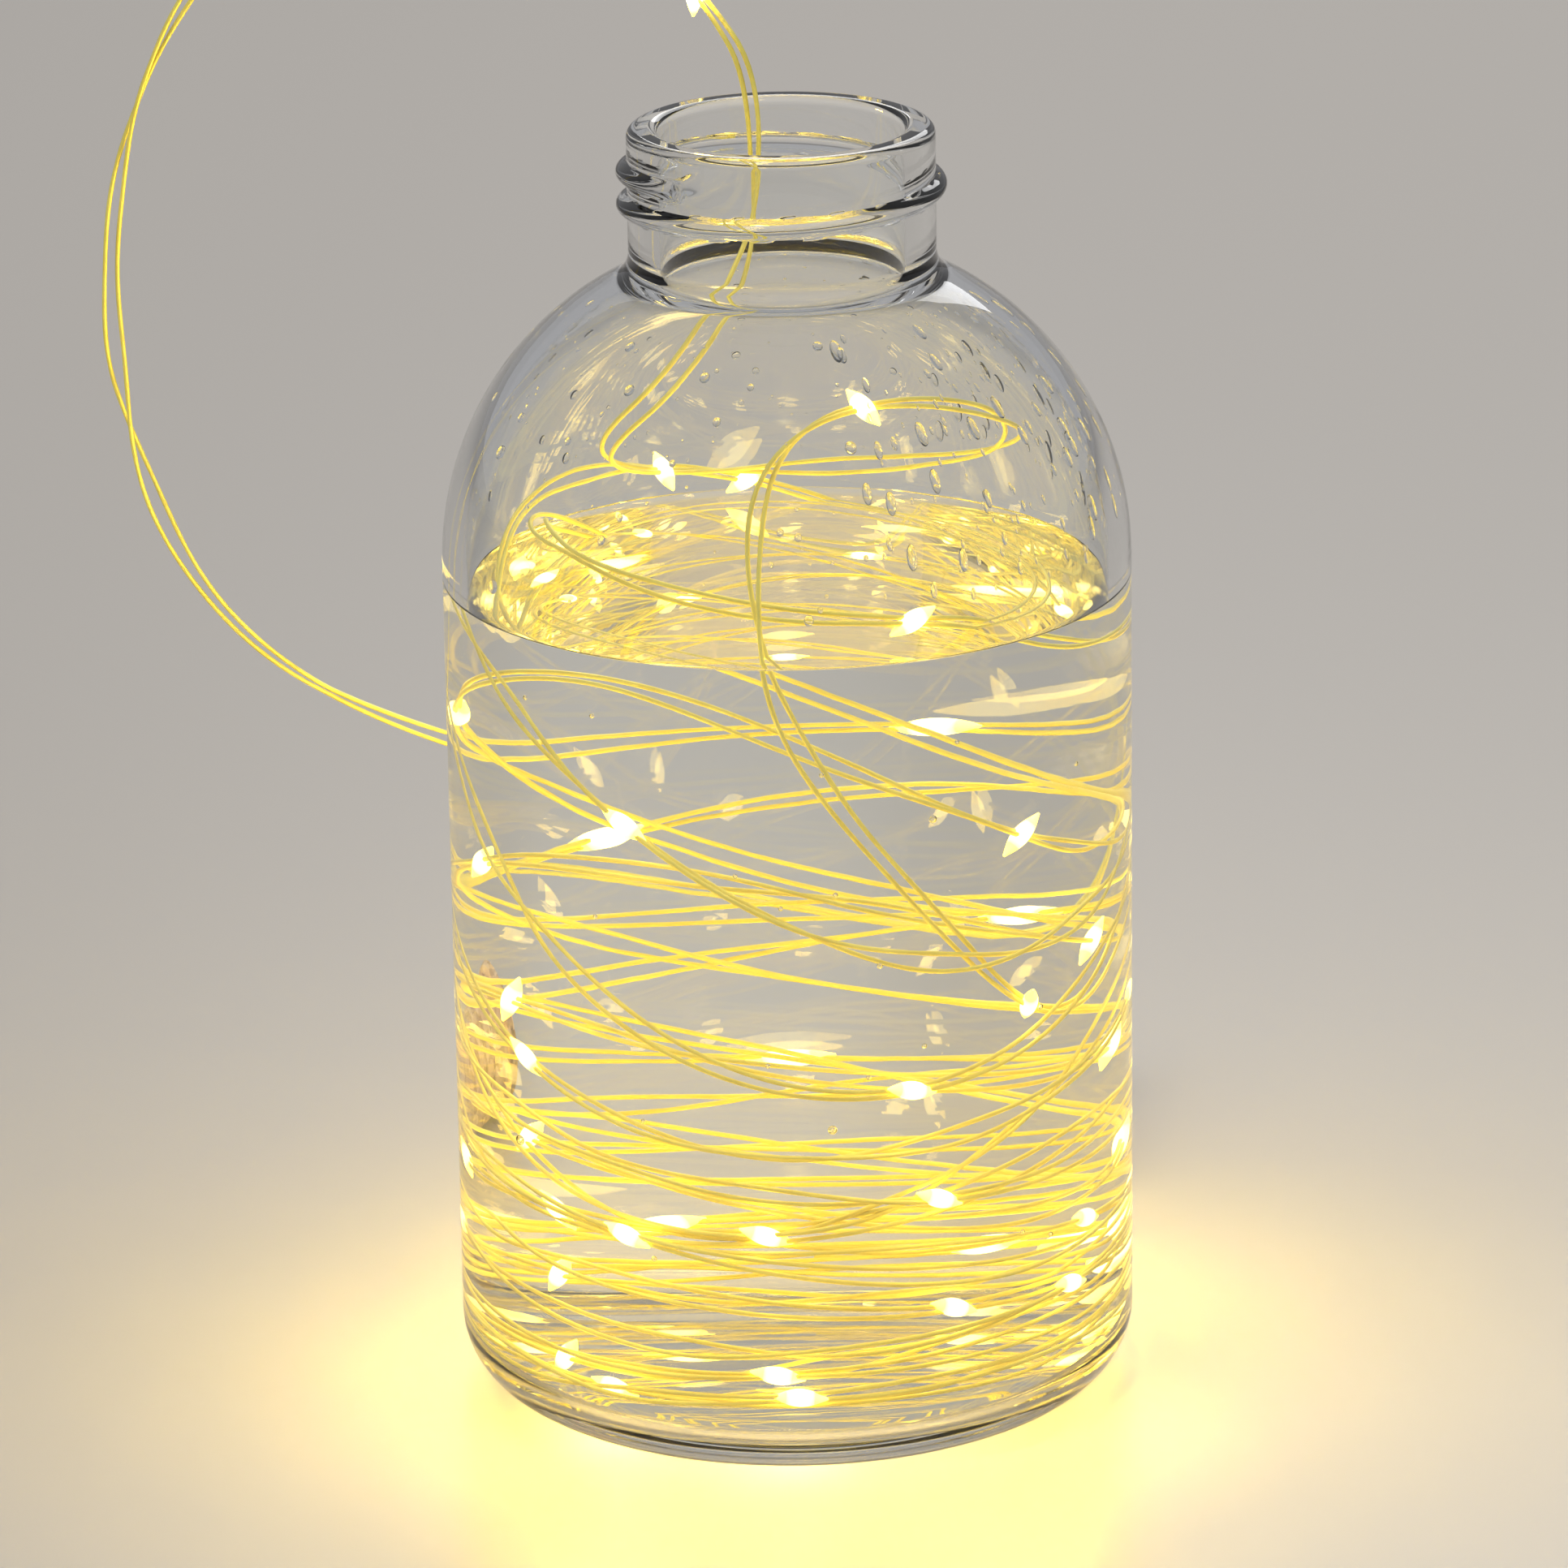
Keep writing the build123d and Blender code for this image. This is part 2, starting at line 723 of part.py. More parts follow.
with BuildPart() as switch_pins:
    with BuildSketch(across(pin_floor)):
        with Locations(
            (slider_rest_x, (pin_end + pin_gap / 2) / 2), (slider_rest_x, -(pin_end + pin_gap / 2) / 2)
        ):
            Rectangle(pin_width, pin_end - pin_gap / 2)
    extrude(amount=strip_thickness)
finish(switch_pins, "switch_pins")

# Slider and the leaf that bridges the pins while it stands at on
slider_roof = case_top - case_wall - touch_clearance
slider_floor = slider_roof - slider_base_height
slider_top = cap_top - dish_depth + slider_proud

with BuildPart() as switch_slider:
    with BuildSketch(across(slider_floor)):
        with Locations((slider_rest_x, 0)):
            Rectangle(slider_base_length, case_width - 2 * case_wall - 2 * slide_clearance)
    extrude(amount=slider_base_height)
    with BuildSketch(across(slider_roof)):
        with Locations((slider_rest_x, 0)):
            Rectangle(slider_length, slider_width)
    extrude(amount=slider_top - slider_roof)
finish(switch_slider, "switch_slider")

bridge_floor = pin_floor + strip_thickness + touch_clearance
bridge_width = pin_gap + 2 * bridge_overlap

with BuildPart() as switch_bridge:
    with BuildSketch(across(bridge_floor)):
        with Locations((slider_rest_x, 0)):
            Rectangle(bridge_length, bridge_width)
    extrude(amount=slider_floor - bridge_floor)
    with BuildSketch(across(bridge_floor)):
        with Locations((slider_rest_x, 0)):
            Rectangle(bridge_length, bridge_width - 2 * bridge_thickness)
    extrude(amount=slider_floor - bridge_floor - bridge_thickness, mode=Mode.SUBTRACT)
finish(switch_bridge, "switch_bridge")

# Measures of the wire: its least gap to itself, its length and the arcs of its free stretch
sample = wire_radius
coil_gap = least_gap(points_along(coil_wire, sample), sample, wire_diameter)
slack_gap = least_gap(points_along(Wire(slack_path.edges()), sample / 2), sample / 2, wire_diameter)
spring_gap = least_gap(points_along(Wire(spring_path.edges()), sample / 2), sample / 2, spring_wire)
print(f"least gaps: coil {coil_gap:.2f}, slack {slack_gap:.2f}, spring {spring_gap:.2f} mm")
print(f"lengths: coil {coil_wire.length:.0f}, lead {lead_wire_path.length:.0f} mm")
print(f"string tail past its last lamp: {first_coil_lamp - lamp_spacing * (lamps_in_coil - 1):.1f} mm")
print("lead radii:", [round(radius, 1) for radius in lead_radii])
section = math.pi * wire_radius**2
print(f"wire volume over section times length: {string_wire.part.volume / section / coil_wire.length:.4f}",
      f"{lead_wire.part.volume / section / lead_wire_path.length:.4f}")
print("stopper axis:", stopper.z_dir, "cap slide:", stopper.x_dir)
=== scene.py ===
import bpy
import bmesh
import math
from mathutils import Matrix, Vector, noise


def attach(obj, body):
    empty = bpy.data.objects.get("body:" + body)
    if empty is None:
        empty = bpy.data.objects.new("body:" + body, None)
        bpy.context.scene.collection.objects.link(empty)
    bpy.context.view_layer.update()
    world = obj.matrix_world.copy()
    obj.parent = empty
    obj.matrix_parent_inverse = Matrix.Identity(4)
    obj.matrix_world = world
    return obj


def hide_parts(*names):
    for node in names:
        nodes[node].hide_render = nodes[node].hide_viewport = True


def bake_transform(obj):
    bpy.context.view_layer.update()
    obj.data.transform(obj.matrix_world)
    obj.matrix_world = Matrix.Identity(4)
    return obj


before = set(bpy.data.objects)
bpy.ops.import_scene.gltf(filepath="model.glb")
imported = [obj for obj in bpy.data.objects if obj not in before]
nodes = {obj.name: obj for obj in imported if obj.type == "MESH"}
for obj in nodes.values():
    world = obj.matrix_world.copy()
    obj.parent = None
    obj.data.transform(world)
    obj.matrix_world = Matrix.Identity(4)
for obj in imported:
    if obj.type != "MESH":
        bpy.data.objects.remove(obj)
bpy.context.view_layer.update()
mm = 0.001
root = "bottle_and_string"

# Camera: stands in front of the bottle and looks down on it
view = {
    "distance": 0.999,
    "height": 0.4033,
    "pitch": 0.313,
    "roll": -0.015,
    "focalPixels": 9984,
    "imagePixels": 1932,
    "axisPixels": 8,  # the bottle stands this far right of the middle
    "sensor": 36,
    "nearest": 0.05,
}


def addObject(name, data):
    thing = bpy.data.objects.new(name, data)
    bpy.context.scene.collection.objects.link(thing)
    return thing


def placeCamera():
    data = bpy.data.cameras.new("photoCamera")
    data.sensor_width = view["sensor"]
    data.lens = view["sensor"] * view["focalPixels"] / view["imagePixels"]
    data.clip_start = view["nearest"]
    camera = addObject("photoCamera", data)
    pan = Matrix.Rotation(view["axisPixels"] / view["focalPixels"], 4, "Z")
    tilt = Matrix.Rotation(math.pi / 2 - view["pitch"], 4, "X")
    roll = Matrix.Rotation(view["roll"], 4, "Z")
    stand = Matrix.Translation((0, -view["distance"], view["height"]))
    camera.matrix_world = stand @ pan @ tilt @ roll
    bpy.context.scene.camera = camera


placeCamera()
print("camera placed")


# Material helpers
def newMaterial(name):
    material = bpy.data.materials.new(name)
    material.use_nodes = True
    tree = material.node_tree
    return material, tree, tree.nodes["Principled BSDF"]


def addNode(tree, kind, **settings):
    # a setting goes to the socket of that name, or else to the node itself
    node = tree.nodes.new(kind)
    for key, value in settings.items():
        if key in node.inputs:
            node.inputs[key].default_value = value
        else:
            setattr(node, key, value)
    return node


def objectNoise(tree, scale, detail, roughness=0.5):
    where = addNode(tree, "ShaderNodeTexCoord")
    pattern = addNode(tree, "ShaderNodeTexNoise", Scale=scale, Detail=detail, Roughness=roughness)
    tree.links.new(where.outputs["Object"], pattern.inputs["Vector"])
    return pattern.outputs["Fac"]


def colourRamp(tree, source, stops):
    ramp = addNode(tree, "ShaderNodeValToRGB")
    elements = ramp.color_ramp.elements
    while len(elements) < len(stops):
        elements.new(0.5)
    for element, (place, colour) in zip(elements, stops):
        element.position = place
        element.color = (*colour, 1)
    tree.links.new(source, ramp.inputs["Fac"])
    return ramp.outputs["Color"]


def valueRange(tree, source, low, high):
    spread = addNode(tree, "ShaderNodeMapRange")
    spread.inputs["To Min"].default_value = low
    spread.inputs["To Max"].default_value = high
    tree.links.new(source, spread.inputs["Value"])
    return spread.outputs["Result"]


def addBump(tree, shader, height, strength, distance):
    bump = addNode(tree, "ShaderNodeBump", Strength=strength, Distance=distance)
    tree.links.new(height, bump.inputs["Height"])
    tree.links.new(bump.outputs["Normal"], shader.inputs["Normal"])


def clearShader(name, colour, ior, waveScale=0, waveDepth=0):
    material, tree, shader = newMaterial(name)
    shader.inputs["Base Color"].default_value = (*colour, 1)
    shader.inputs["Roughness"].default_value = 0
    shader.inputs["IOR"].default_value = ior
    shader.inputs["Transmission Weight"].default_value = 1
    if waveDepth:
        addBump(tree, shader, objectNoise(tree, waveScale, 2), 1, waveDepth)

    # light on its way to other surfaces passes straight through
    through = addNode(tree, "ShaderNodeBsdfTransparent")
    path = addNode(tree, "ShaderNodeLightPath")
    either = addNode(tree, "ShaderNodeMath", operation="MAXIMUM")
    mix = addNode(tree, "ShaderNodeMixShader")
    out = tree.nodes["Material Output"]
    tree.links.new(path.outputs["Is Shadow Ray"], either.inputs[0])
    tree.links.new(path.outputs["Is Diffuse Ray"], either.inputs[1])
    tree.links.new(either.outputs["Value"], mix.inputs["Fac"])
    tree.links.new(shader.outputs["BSDF"], mix.inputs[1])
    tree.links.new(through.outputs["BSDF"], mix.inputs[2])
    tree.links.new(mix.outputs["Shader"], out.inputs["Surface"])
    return material


grain = {
    "edges": (0.3, 0.7),  # noise levels of the dark and the light tone
    "roughness": 0.6,
    "metalDetail": 6,
    "mouldedDetail": 5,
    "mouldedBump": 0.35,
    "mouldedDepth": 0.0001,
}


def twoTone(tree, source, dark, light):
    low, high = grain["edges"]
    return colourRamp(tree, source, [(low, dark), (high, light)])


def grainedShader(name, dark, light, roughness, grainScale, detail):
    material, tree, shader = newMaterial(name)
    pattern = objectNoise(tree, grainScale, detail, grain["roughness"])
    tree.links.new(twoTone(tree, pattern, dark, light), shader.inputs["Base Color"])
    tree.links.new(valueRange(tree, pattern, *roughness), shader.inputs["Roughness"])
    return material, tree, shader, pattern


def metalShader(name, dark, light, roughness, grainScale, metallic=1.0):
    settings = (dark, light, roughness, grainScale, grain["metalDetail"])
    material, tree, shader, pattern = grainedShader(name, *settings)
    shader.inputs["Metallic"].default_value = metallic
    return material


def mouldedShader(name, dark, light, roughness, grainScale):
    settings = (dark, light, roughness, grainScale, grain["mouldedDetail"])
    material, tree, shader, pattern = grainedShader(name, *settings)
    addBump(tree, shader, pattern, grain["mouldedBump"], grain["mouldedDepth"])
    return material


cork = {
    "grainScale": 620,
    "pitScale": 260,
    "tones": [
        (0.0, (0.33, 0.19, 0.09)),
        (0.3, (0.52, 0.34, 0.18)),
        (0.75, (0.66, 0.46, 0.27)),
        (1.0, (0.76, 0.58, 0.37)),
    ],
    "pits": [(0.1, (0.16, 0.08, 0.035)), (0.24, (1, 1, 1))],
    "pitShade": 0.8,
    "roughness": 0.86,
    "bump": 0.7,
    "bumpDepth": 0.0005,
}


def corkShader():
    material, tree, shader = newMaterial("groundCork")
    where = addNode(tree, "ShaderNodeTexCoord")
    grains = addNode(tree, "ShaderNodeTexVoronoi", Scale=cork["grainScale"], Randomness=1)
    pits = addNode(tree, "ShaderNodeTexVoronoi", Scale=cork["pitScale"], Randomness=1)
    tree.links.new(where.outputs["Object"], grains.inputs["Vector"])
    tree.links.new(where.outputs["Object"], pits.inputs["Vector"])
    shade = addNode(tree, "ShaderNodeSeparateColor")
    tree.links.new(grains.outputs["Color"], shade.inputs["Color"])
    grainColour = colourRamp(tree, shade.outputs["Red"], cork["tones"])
    pitMask = valueRange(tree, pits.outputs["Distance"], 0, 1)
    pitColour = colourRamp(tree, pitMask, cork["pits"])
    blend = addNode(tree, "ShaderNodeMix", data_type="RGBA", blend_type="MULTIPLY")
    blend.inputs["Factor"].default_value = cork["pitShade"]
    tree.links.new(grainColour, blend.inputs["A"])
    tree.links.new(pitColour, blend.inputs["B"])
    tree.links.new(blend.outputs["Result"], shader.inputs["Base Color"])
    shader.inputs["Roughness"].default_value = cork["roughness"]
    height = addNode(tree, "ShaderNodeMath", operation="MULTIPLY")
    tree.links.new(grains.outputs["Distance"], height.inputs[0])
    tree.links.new(pitMask, height.inputs[1])
    addBump(tree, shader, height.outputs["Value"], cork["bump"], cork["bumpDepth"])
    return material


lampGlow = {
    "strength": 250.0,
    "chip": (1.0, 0.74, 0.15),  # middle of the drop, over the chip
    "side": (0.3, 0.2, 0.006),
    "tip": (0.03, 0.02, 0.0006),
    "places": [(0.06, "tip"), (0.24, "side"), (0.4, "chip"), (0.6, "chip"), (0.76, "side"), (0.94, "tip")],
    "along": "dropShare",  # attribute that runs from 0 to 1 along each drop
    "epoxy": (1.0, 0.9, 0.66),
    "paleEpoxy": (1.0, 0.95, 0.8),
    "cloudScale": 500,
    "cloudDetail": 3,
    "roughness": 0.12,
}


def lampShader():
    material, tree, shader = newMaterial("litEpoxy")
    cloud = objectNoise(tree, lampGlow["cloudScale"], lampGlow["cloudDetail"])
    tint = twoTone(tree, cloud, lampGlow["epoxy"], lampGlow["paleEpoxy"])
    tree.links.new(tint, shader.inputs["Base Color"])
    shader.inputs["Roughness"].default_value = lampGlow["roughness"]
    share = addNode(tree, "ShaderNodeAttribute", attribute_name=lampGlow["along"])
    glow = [(place, lampGlow[part]) for place, part in lampGlow["places"]]
    tree.links.new(colourRamp(tree, share.outputs["Fac"], glow), shader.inputs["Emission Color"])
    shader.inputs["Emission Strength"].default_value = lampGlow["strength"]
    return material


clearGlass = clearShader("clearGlass", (0.985, 0.995, 0.99), 1.5, 55, 0.00004)
stillWater = clearShader("stillWater", (0.995, 0.99, 0.97), 1.333, 40, 0.00002)
waterDrop = clearShader("waterDrop", (1, 1, 1), 1.333)
airBubble = clearShader("airBubble", (1, 1, 1), 0.75)
enamelWire = metalShader("enamelledCopper", (0.88, 0.74, 0.14), (0.98, 0.89, 0.23), (0.36, 0.5), 160, 0.45)
litEpoxy = lampShader()
groundCork = corkShader()
print("materials ready")


# Geometry Nodes helpers
def newTree(name, inputs):
    tree = bpy.data.node_groups.new(name, "GeometryNodeTree")
    for label, kind in inputs:
        tree.interface.new_socket(name=label, in_out="INPUT", socket_type="NodeSocket" + kind)
    tree.interface.new_socket(name="Geometry", in_out="OUTPUT", socket_type="NodeSocketGeometry")
    return tree, tree.nodes.new("NodeGroupInput"), tree.nodes.new("NodeGroupOutput")


def geometryNode(tree, kind, **settings):
    return addNode(tree, "GeometryNode" + kind, **settings)


def endTree(tree, source, material, out):
    realize = geometryNode(tree, "RealizeInstances")
    finish = geometryNode(tree, "SetMaterial")
    tree.links.new(source, realize.inputs["Geometry"])
    tree.links.new(realize.outputs["Geometry"], finish.inputs["Geometry"])
    tree.links.new(material, finish.inputs["Material"])
    tree.links.new(finish.outputs["Geometry"], out.inputs["Geometry"])


def bakeTree(name, tree, values):
    host = addObject(name, bpy.data.meshes.new(name + "Host"))
    modifier = host.modifiers.new(tree.name, "NODES")
    modifier.node_group = tree
    for item in tree.interface.items_tree:
        if item.in_out == "INPUT":
            modifier[item.identifier] = values[item.name]
    bpy.context.view_layer.update()
    graph = bpy.context.evaluated_depsgraph_get()
    mesh = bpy.data.meshes.new_from_object(host.evaluated_get(graph))
    host.modifiers.remove(modifier)
    host.data = mesh
    mesh.name = name
    return host


# Mesh helpers
sharpEdge = 40  # degrees


def meshObject(name, mesh, material):
    piece = addObject(name, mesh)
    mesh.materials.clear()
    mesh.materials.append(material)
    return piece


def arcPoints(centre, radius, fromAngle, toAngle, steps):
    points = []
    for step in range(steps + 1):
        angle = math.radians(fromAngle + (toAngle - fromAngle) * step / steps)
        points.append((centre[0] + radius * math.cos(angle), centre[1] + radius * math.sin(angle)))
    return points


def straightPoints(start, end, steps):
    return [
        (start[0] + (end[0] - start[0]) * step / steps, start[1] + (end[1] - start[1]) * step / steps)
        for step in range(steps + 1)
    ]


def turnedMesh(name, profile, sides, lift=None):
    # turns a profile round the axis; points at radius 0 become single poles
    bm = bmesh.new()
    rings = []
    for radius, height in profile:
        if radius < 1e-6:
            rings.append([bm.verts.new((0, 0, height * mm))])
            continue
        ring = []
        for side in range(sides):
            angle = 2 * math.pi * side / sides
            reach = (radius + (lift(angle, radius, height) if lift else 0)) * mm
            ring.append(bm.verts.new((reach * math.cos(angle), reach * math.sin(angle), height * mm)))
        rings.append(ring)
    for lower, upper in zip(rings, rings[1:]):
        for side in range(sides):
            after = (side + 1) % sides
            corners = [lower[side % len(lower)], lower[after % len(lower)]]
            corners += [upper[after % len(upper)], upper[side % len(upper)]]
            bm.faces.new(list(dict.fromkeys(corners)))
    bmesh.ops.recalc_face_normals(bm, faces=bm.faces[:])
    mesh = bpy.data.meshes.new(name)
    bm.to_mesh(mesh)
    bm.free()
    mesh.shade_smooth()
    mesh.set_sharp_from_angle(angle=math.radians(sharpEdge))
    return mesh


# Glass bottle
bottle = {
    "bodyRadius": 44.25,
    "height": 167.5,
    "wall": 3.0,
    "base": 5.0,
    "pushUp": 2.5,
    "bearingRing": 4.0,
    "heel": 9.0,
    "shoulderStart": 111.0,
    "shoulder": 41.5,
    "neck": 19.6,
    "mouth": 15.6,
    "neckFillet": 4.0,
    "mouthFillet": 2.0,
    "rimRound": 1.3,
    "sides": 192,
    "threadLift": 1.4,
    "threadHalfWidth": 1.35,
    "threadCrown": 0.8,  # lower is blunter
    "threadPitch": 4.23,
    "threadMiddle": 159.8,  # height of the ridge on the right-hand side
    "threadReach": 230,  # degrees each way from there
    "threadFade": 28,
}
sectionSteps = {  # along each stretch of the bottle's section
    "floor": 10,
    "bearingRing": 2,
    "heel": 12,
    "innerHeel": 8,
    "wall": 20,
    "shoulder": 28,
    "innerShoulder": 24,
    "neckFoot": 20,
    "mouthFoot": 16,
    "neck": 70,
    "bore": 8,
    "rim": 12,
}
insideRadius = bottle["bodyRadius"] - bottle["wall"]
shoulderAxis = bottle["bodyRadius"] - bottle["shoulder"]
shoulderMiddle = (shoulderAxis, bottle["shoulderStart"])
heelEdge = bottle["bodyRadius"] - bottle["heel"]
rimStart = bottle["height"] - bottle["rimRound"]


def threadLift(angle, radius, height):
    if radius < bottle["neck"] - 0.01:  # the rim's rounding and the bore stay plain
        return 0
    lift = 0
    reach = math.radians(bottle["threadReach"])
    for turn in (-2, -1, 0, 1):
        around = angle + 2 * math.pi * turn
        if abs(around) > reach:
            continue
        middle = bottle["threadMiddle"] + bottle["threadPitch"] * around / (2 * math.pi)
        across = (height - middle) / bottle["threadHalfWidth"]
        if abs(across) < 1:
            fade = min(1, (reach - abs(around)) / math.radians(bottle["threadFade"]))
            ridge = (1 - across * across) ** bottle["threadCrown"]
            lift = max(lift, bottle["threadLift"] * ridge * math.sin(fade * math.pi / 2))
    return lift


def floorCurve(edge, low):
    # shallow dome from the axis out to the edge
    steps = sectionSteps["floor"]
    return [
        (edge * step / steps, low + bottle["pushUp"] * (1 - (step / steps) ** 2)) for step in range(steps + 1)
    ]


def shoulderEnd(shoulder, neck, fillet):
    # middle of the fillet at the neck's foot, and the angle at which the shoulder runs into it
    foot = neck + fillet
    rise = math.sqrt((shoulder + fillet) ** 2 - (foot - shoulderAxis) ** 2)
    lean = math.degrees(math.atan2(rise, foot - shoulderAxis))
    return (foot, bottle["shoulderStart"] + rise), lean


def innerProfile(grow):
    # inner wall from the middle of the floor to the foot of the neck
    shoulderStart = bottle["shoulderStart"]
    reach = insideRadius + grow
    heel = bottle["heel"] - bottle["wall"]
    heelTop = bottle["base"] + heel
    shoulder = bottle["shoulder"] - bottle["wall"]
    fillet = bottle["mouthFillet"]
    foot, lean = shoulderEnd(shoulder, bottle["mouth"], fillet)
    points = floorCurve(heelEdge, bottle["base"] - grow)
    points += arcPoints((heelEdge, heelTop), heel + grow, 270, 360, sectionSteps["innerHeel"])[1:]
    points += straightPoints((reach, heelTop), (reach, shoulderStart), sectionSteps["wall"])[1:]
    points += arcPoints(shoulderMiddle, shoulder + grow, 0, lean, sectionSteps["innerShoulder"])[1:]
    points += arcPoints(foot, fillet, 180 + lean, 180, sectionSteps["mouthFoot"])[1:]
    return points


def outerProfile():
    # outer wall from the middle of the base to the top of the rim
    shoulderStart = bottle["shoulderStart"]
    reach = bottle["bodyRadius"]
    heel = bottle["heel"]
    shoulder = bottle["shoulder"]
    neck = bottle["neck"]
    fillet = bottle["neckFillet"]
    rim = bottle["rimRound"]
    ringEdge = heelEdge - bottle["bearingRing"]
    foot, lean = shoulderEnd(shoulder, neck, fillet)
    points = floorCurve(ringEdge, 0)
    points += straightPoints((ringEdge, 0), (heelEdge, 0), sectionSteps["bearingRing"])[1:]
    points += arcPoints((heelEdge, heel), heel, 270, 360, sectionSteps["heel"])[1:]
    points += straightPoints((reach, heel), (reach, shoulderStart), sectionSteps["wall"])[1:]
    points += arcPoints(shoulderMiddle, shoulder, 0, lean, sectionSteps["shoulder"])[1:]
    points += arcPoints(foot, fillet, 180 + lean, 180, sectionSteps["neckFoot"])[1:]
    points += straightPoints((neck, foot[1]), (neck, rimStart), sectionSteps["neck"])[1:]
    points += arcPoints((neck - rim, rimStart), rim, 0, 90, sectionSteps["rim"])[1:]
    return points


def makeBottle():
    rimMiddle = (bottle["mouth"] + bottle["rimRound"], rimStart)
    rim = arcPoints(rimMiddle, bottle["rimRound"], 90, 180, sectionSteps["rim"])
    inner = innerProfile(0)
    inner += straightPoints(inner[-1], (bottle["mouth"], rimStart), sectionSteps["bore"])[1:-1]
    profile = outerProfile() + rim + inner[::-1]
    mesh = turnedMesh("glassBottle", profile, bottle["sides"], threadLift)
    piece = meshObject("glassBottle", mesh, clearGlass)
    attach(piece, root)
    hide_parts("bottle")


makeBottle()
print("bottle turned")

# Water: reaches a little way into the glass, so that no film of air shows between them
water = {
    "level": 108.0,
    "meniscus": 0.6,
    "meniscusReach": 2.4,
    "meniscusSteps": 8,
    "surfaceSteps": 6,
    "overlap": 0.3,
}


def makeWater():
    wall = [point for point in innerProfile(water["overlap"]) if point[1] < water["level"]]
    edge = wall[-1][0]
    top = []
    for step in range(water["meniscusSteps"] + 1):
        share = step / water["meniscusSteps"]
        height = water["level"] + water["meniscus"] * (1 - share) ** 2
        top.append((edge - share * water["meniscusReach"], height))
    middle = straightPoints(top[-1], (0, water["level"]), water["surfaceSteps"])[1:]
    mesh = turnedMesh("bottleWater", wall + top + middle, bottle["sides"])
    piece = meshObject("bottleWater", mesh, stillWater)
    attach(piece, root)


makeWater()
print("water poured")

# Drops of condensation above the water, and bubbles below it
drops = {
    "patches": [  # name, from and to height, from and to angle, drops per square metre, stretch
        ("shoulderRuns", 114, 145, -75, 60, 90000, 2.4),
        ("shoulderDew", 112, 146, 60, 285, 24000, 1.2),
    ],
    "inset": 0.1,  # from the inner wall
    "small": 0.00016,
    "large": 0.00075,
    "flat": 0.4,
    "rarity": 3,  # higher leaves fewer large drops among the small ones
    "roundness": 3,  # subdivisions of each drop
    "seed": 7,
}
bubbles = {
    "low": 22,
    "high": 104,
    "from": -150,
    "to": -30,
    "inset": 1.2,
    "density": 2600,  # bubbles per square metre
    "small": 0.0003,
    "large": 0.0007,
}
patchSides = 40


def wallPatch(name, low, high, fromAngle, toAngle, inset):
    profile = [point for point in innerProfile(-inset) if low <= point[1] <= high]
    bm = bmesh.new()
    columns = []
    for side in range(patchSides + 1):
        angle = math.radians(fromAngle + (toAngle - fromAngle) * side / patchSides)
        columns.append([
            bm.verts.new((radius * mm * math.cos(angle), radius * mm * math.sin(angle), height * mm))
            for radius, height in profile
        ])
    for left, right in zip(columns, columns[1:]):
        for row in range(len(profile) - 1):
            bm.faces.new((left[row], left[row + 1], right[row + 1], right[row]))
    mesh = bpy.data.meshes.new(name)
    bm.to_mesh(mesh)
    bm.free()
    return meshObject(name, mesh, waterDrop)


def scatterTree():
    inputs = [("Surface", "Object"), ("Density", "Float"), ("Small", "Float"), ("Large", "Float")]
    inputs += [("Stretch", "Float"), ("Flat", "Float"), ("Seed", "Int"), ("Material", "Material")]
    tree, given, out = newTree("scatteredDrops", inputs)
    surface = geometryNode(tree, "ObjectInfo")
    points = geometryNode(tree, "DistributePointsOnFaces")
    chance = addNode(tree, "FunctionNodeRandomValue", data_type="FLOAT")
    few = addNode(tree, "ShaderNodeMath", operation="POWER")
    few.inputs[1].default_value = drops["rarity"]
    size = addNode(tree, "ShaderNodeMapRange")
    tall = addNode(tree, "ShaderNodeMath", operation="MULTIPLY")
    thin = addNode(tree, "ShaderNodeMath", operation="MULTIPLY")
    shape = addNode(tree, "ShaderNodeCombineXYZ")
    upright = addNode(tree, "FunctionNodeAlignRotationToVector", axis="Y", pivot_axis="Z", Vector=(0, 0, 1))
    ball = geometryNode(tree, "MeshIcoSphere", Radius=1, Subdivisions=drops["roundness"])
    smooth = geometryNode(tree, "SetShadeSmooth")
    spread = geometryNode(tree, "InstanceOnPoints")
    tree.links.new(given.outputs["Surface"], surface.inputs["Object"])
    tree.links.new(surface.outputs["Geometry"], points.inputs["Mesh"])
    tree.links.new(given.outputs["Density"], points.inputs["Density"])
    tree.links.new(given.outputs["Seed"], points.inputs["Seed"])
    tree.links.new(given.outputs["Seed"], chance.inputs["Seed"])
    tree.links.new(chance.outputs[1], few.inputs[0])
    tree.links.new(few.outputs["Value"], size.inputs["Value"])
    tree.links.new(given.outputs["Small"], size.inputs["To Min"])
    tree.links.new(given.outputs["Large"], size.inputs["To Max"])
    tree.links.new(size.outputs["Result"], tall.inputs[0])
    tree.links.new(given.outputs["Stretch"], tall.inputs[1])
    tree.links.new(size.outputs["Result"], thin.inputs[0])
    tree.links.new(given.outputs["Flat"], thin.inputs[1])
    tree.links.new(size.outputs["Result"], shape.inputs["X"])
    tree.links.new(tall.outputs["Value"], shape.inputs["Y"])
    tree.links.new(thin.outputs["Value"], shape.inputs["Z"])
    tree.links.new(points.outputs["Rotation"], upright.inputs["Rotation"])
    tree.links.new(points.outputs["Points"], spread.inputs["Points"])
    tree.links.new(upright.outputs["Rotation"], spread.inputs["Rotation"])
    tree.links.new(shape.outputs["Vector"], spread.inputs["Scale"])
    tree.links.new(ball.outputs["Mesh"], smooth.inputs["Geometry"])
    tree.links.new(smooth.outputs["Geometry"], spread.inputs["Instance"])
    endTree(tree, spread.outputs["Instances"], given.outputs["Material"], out)
    return tree


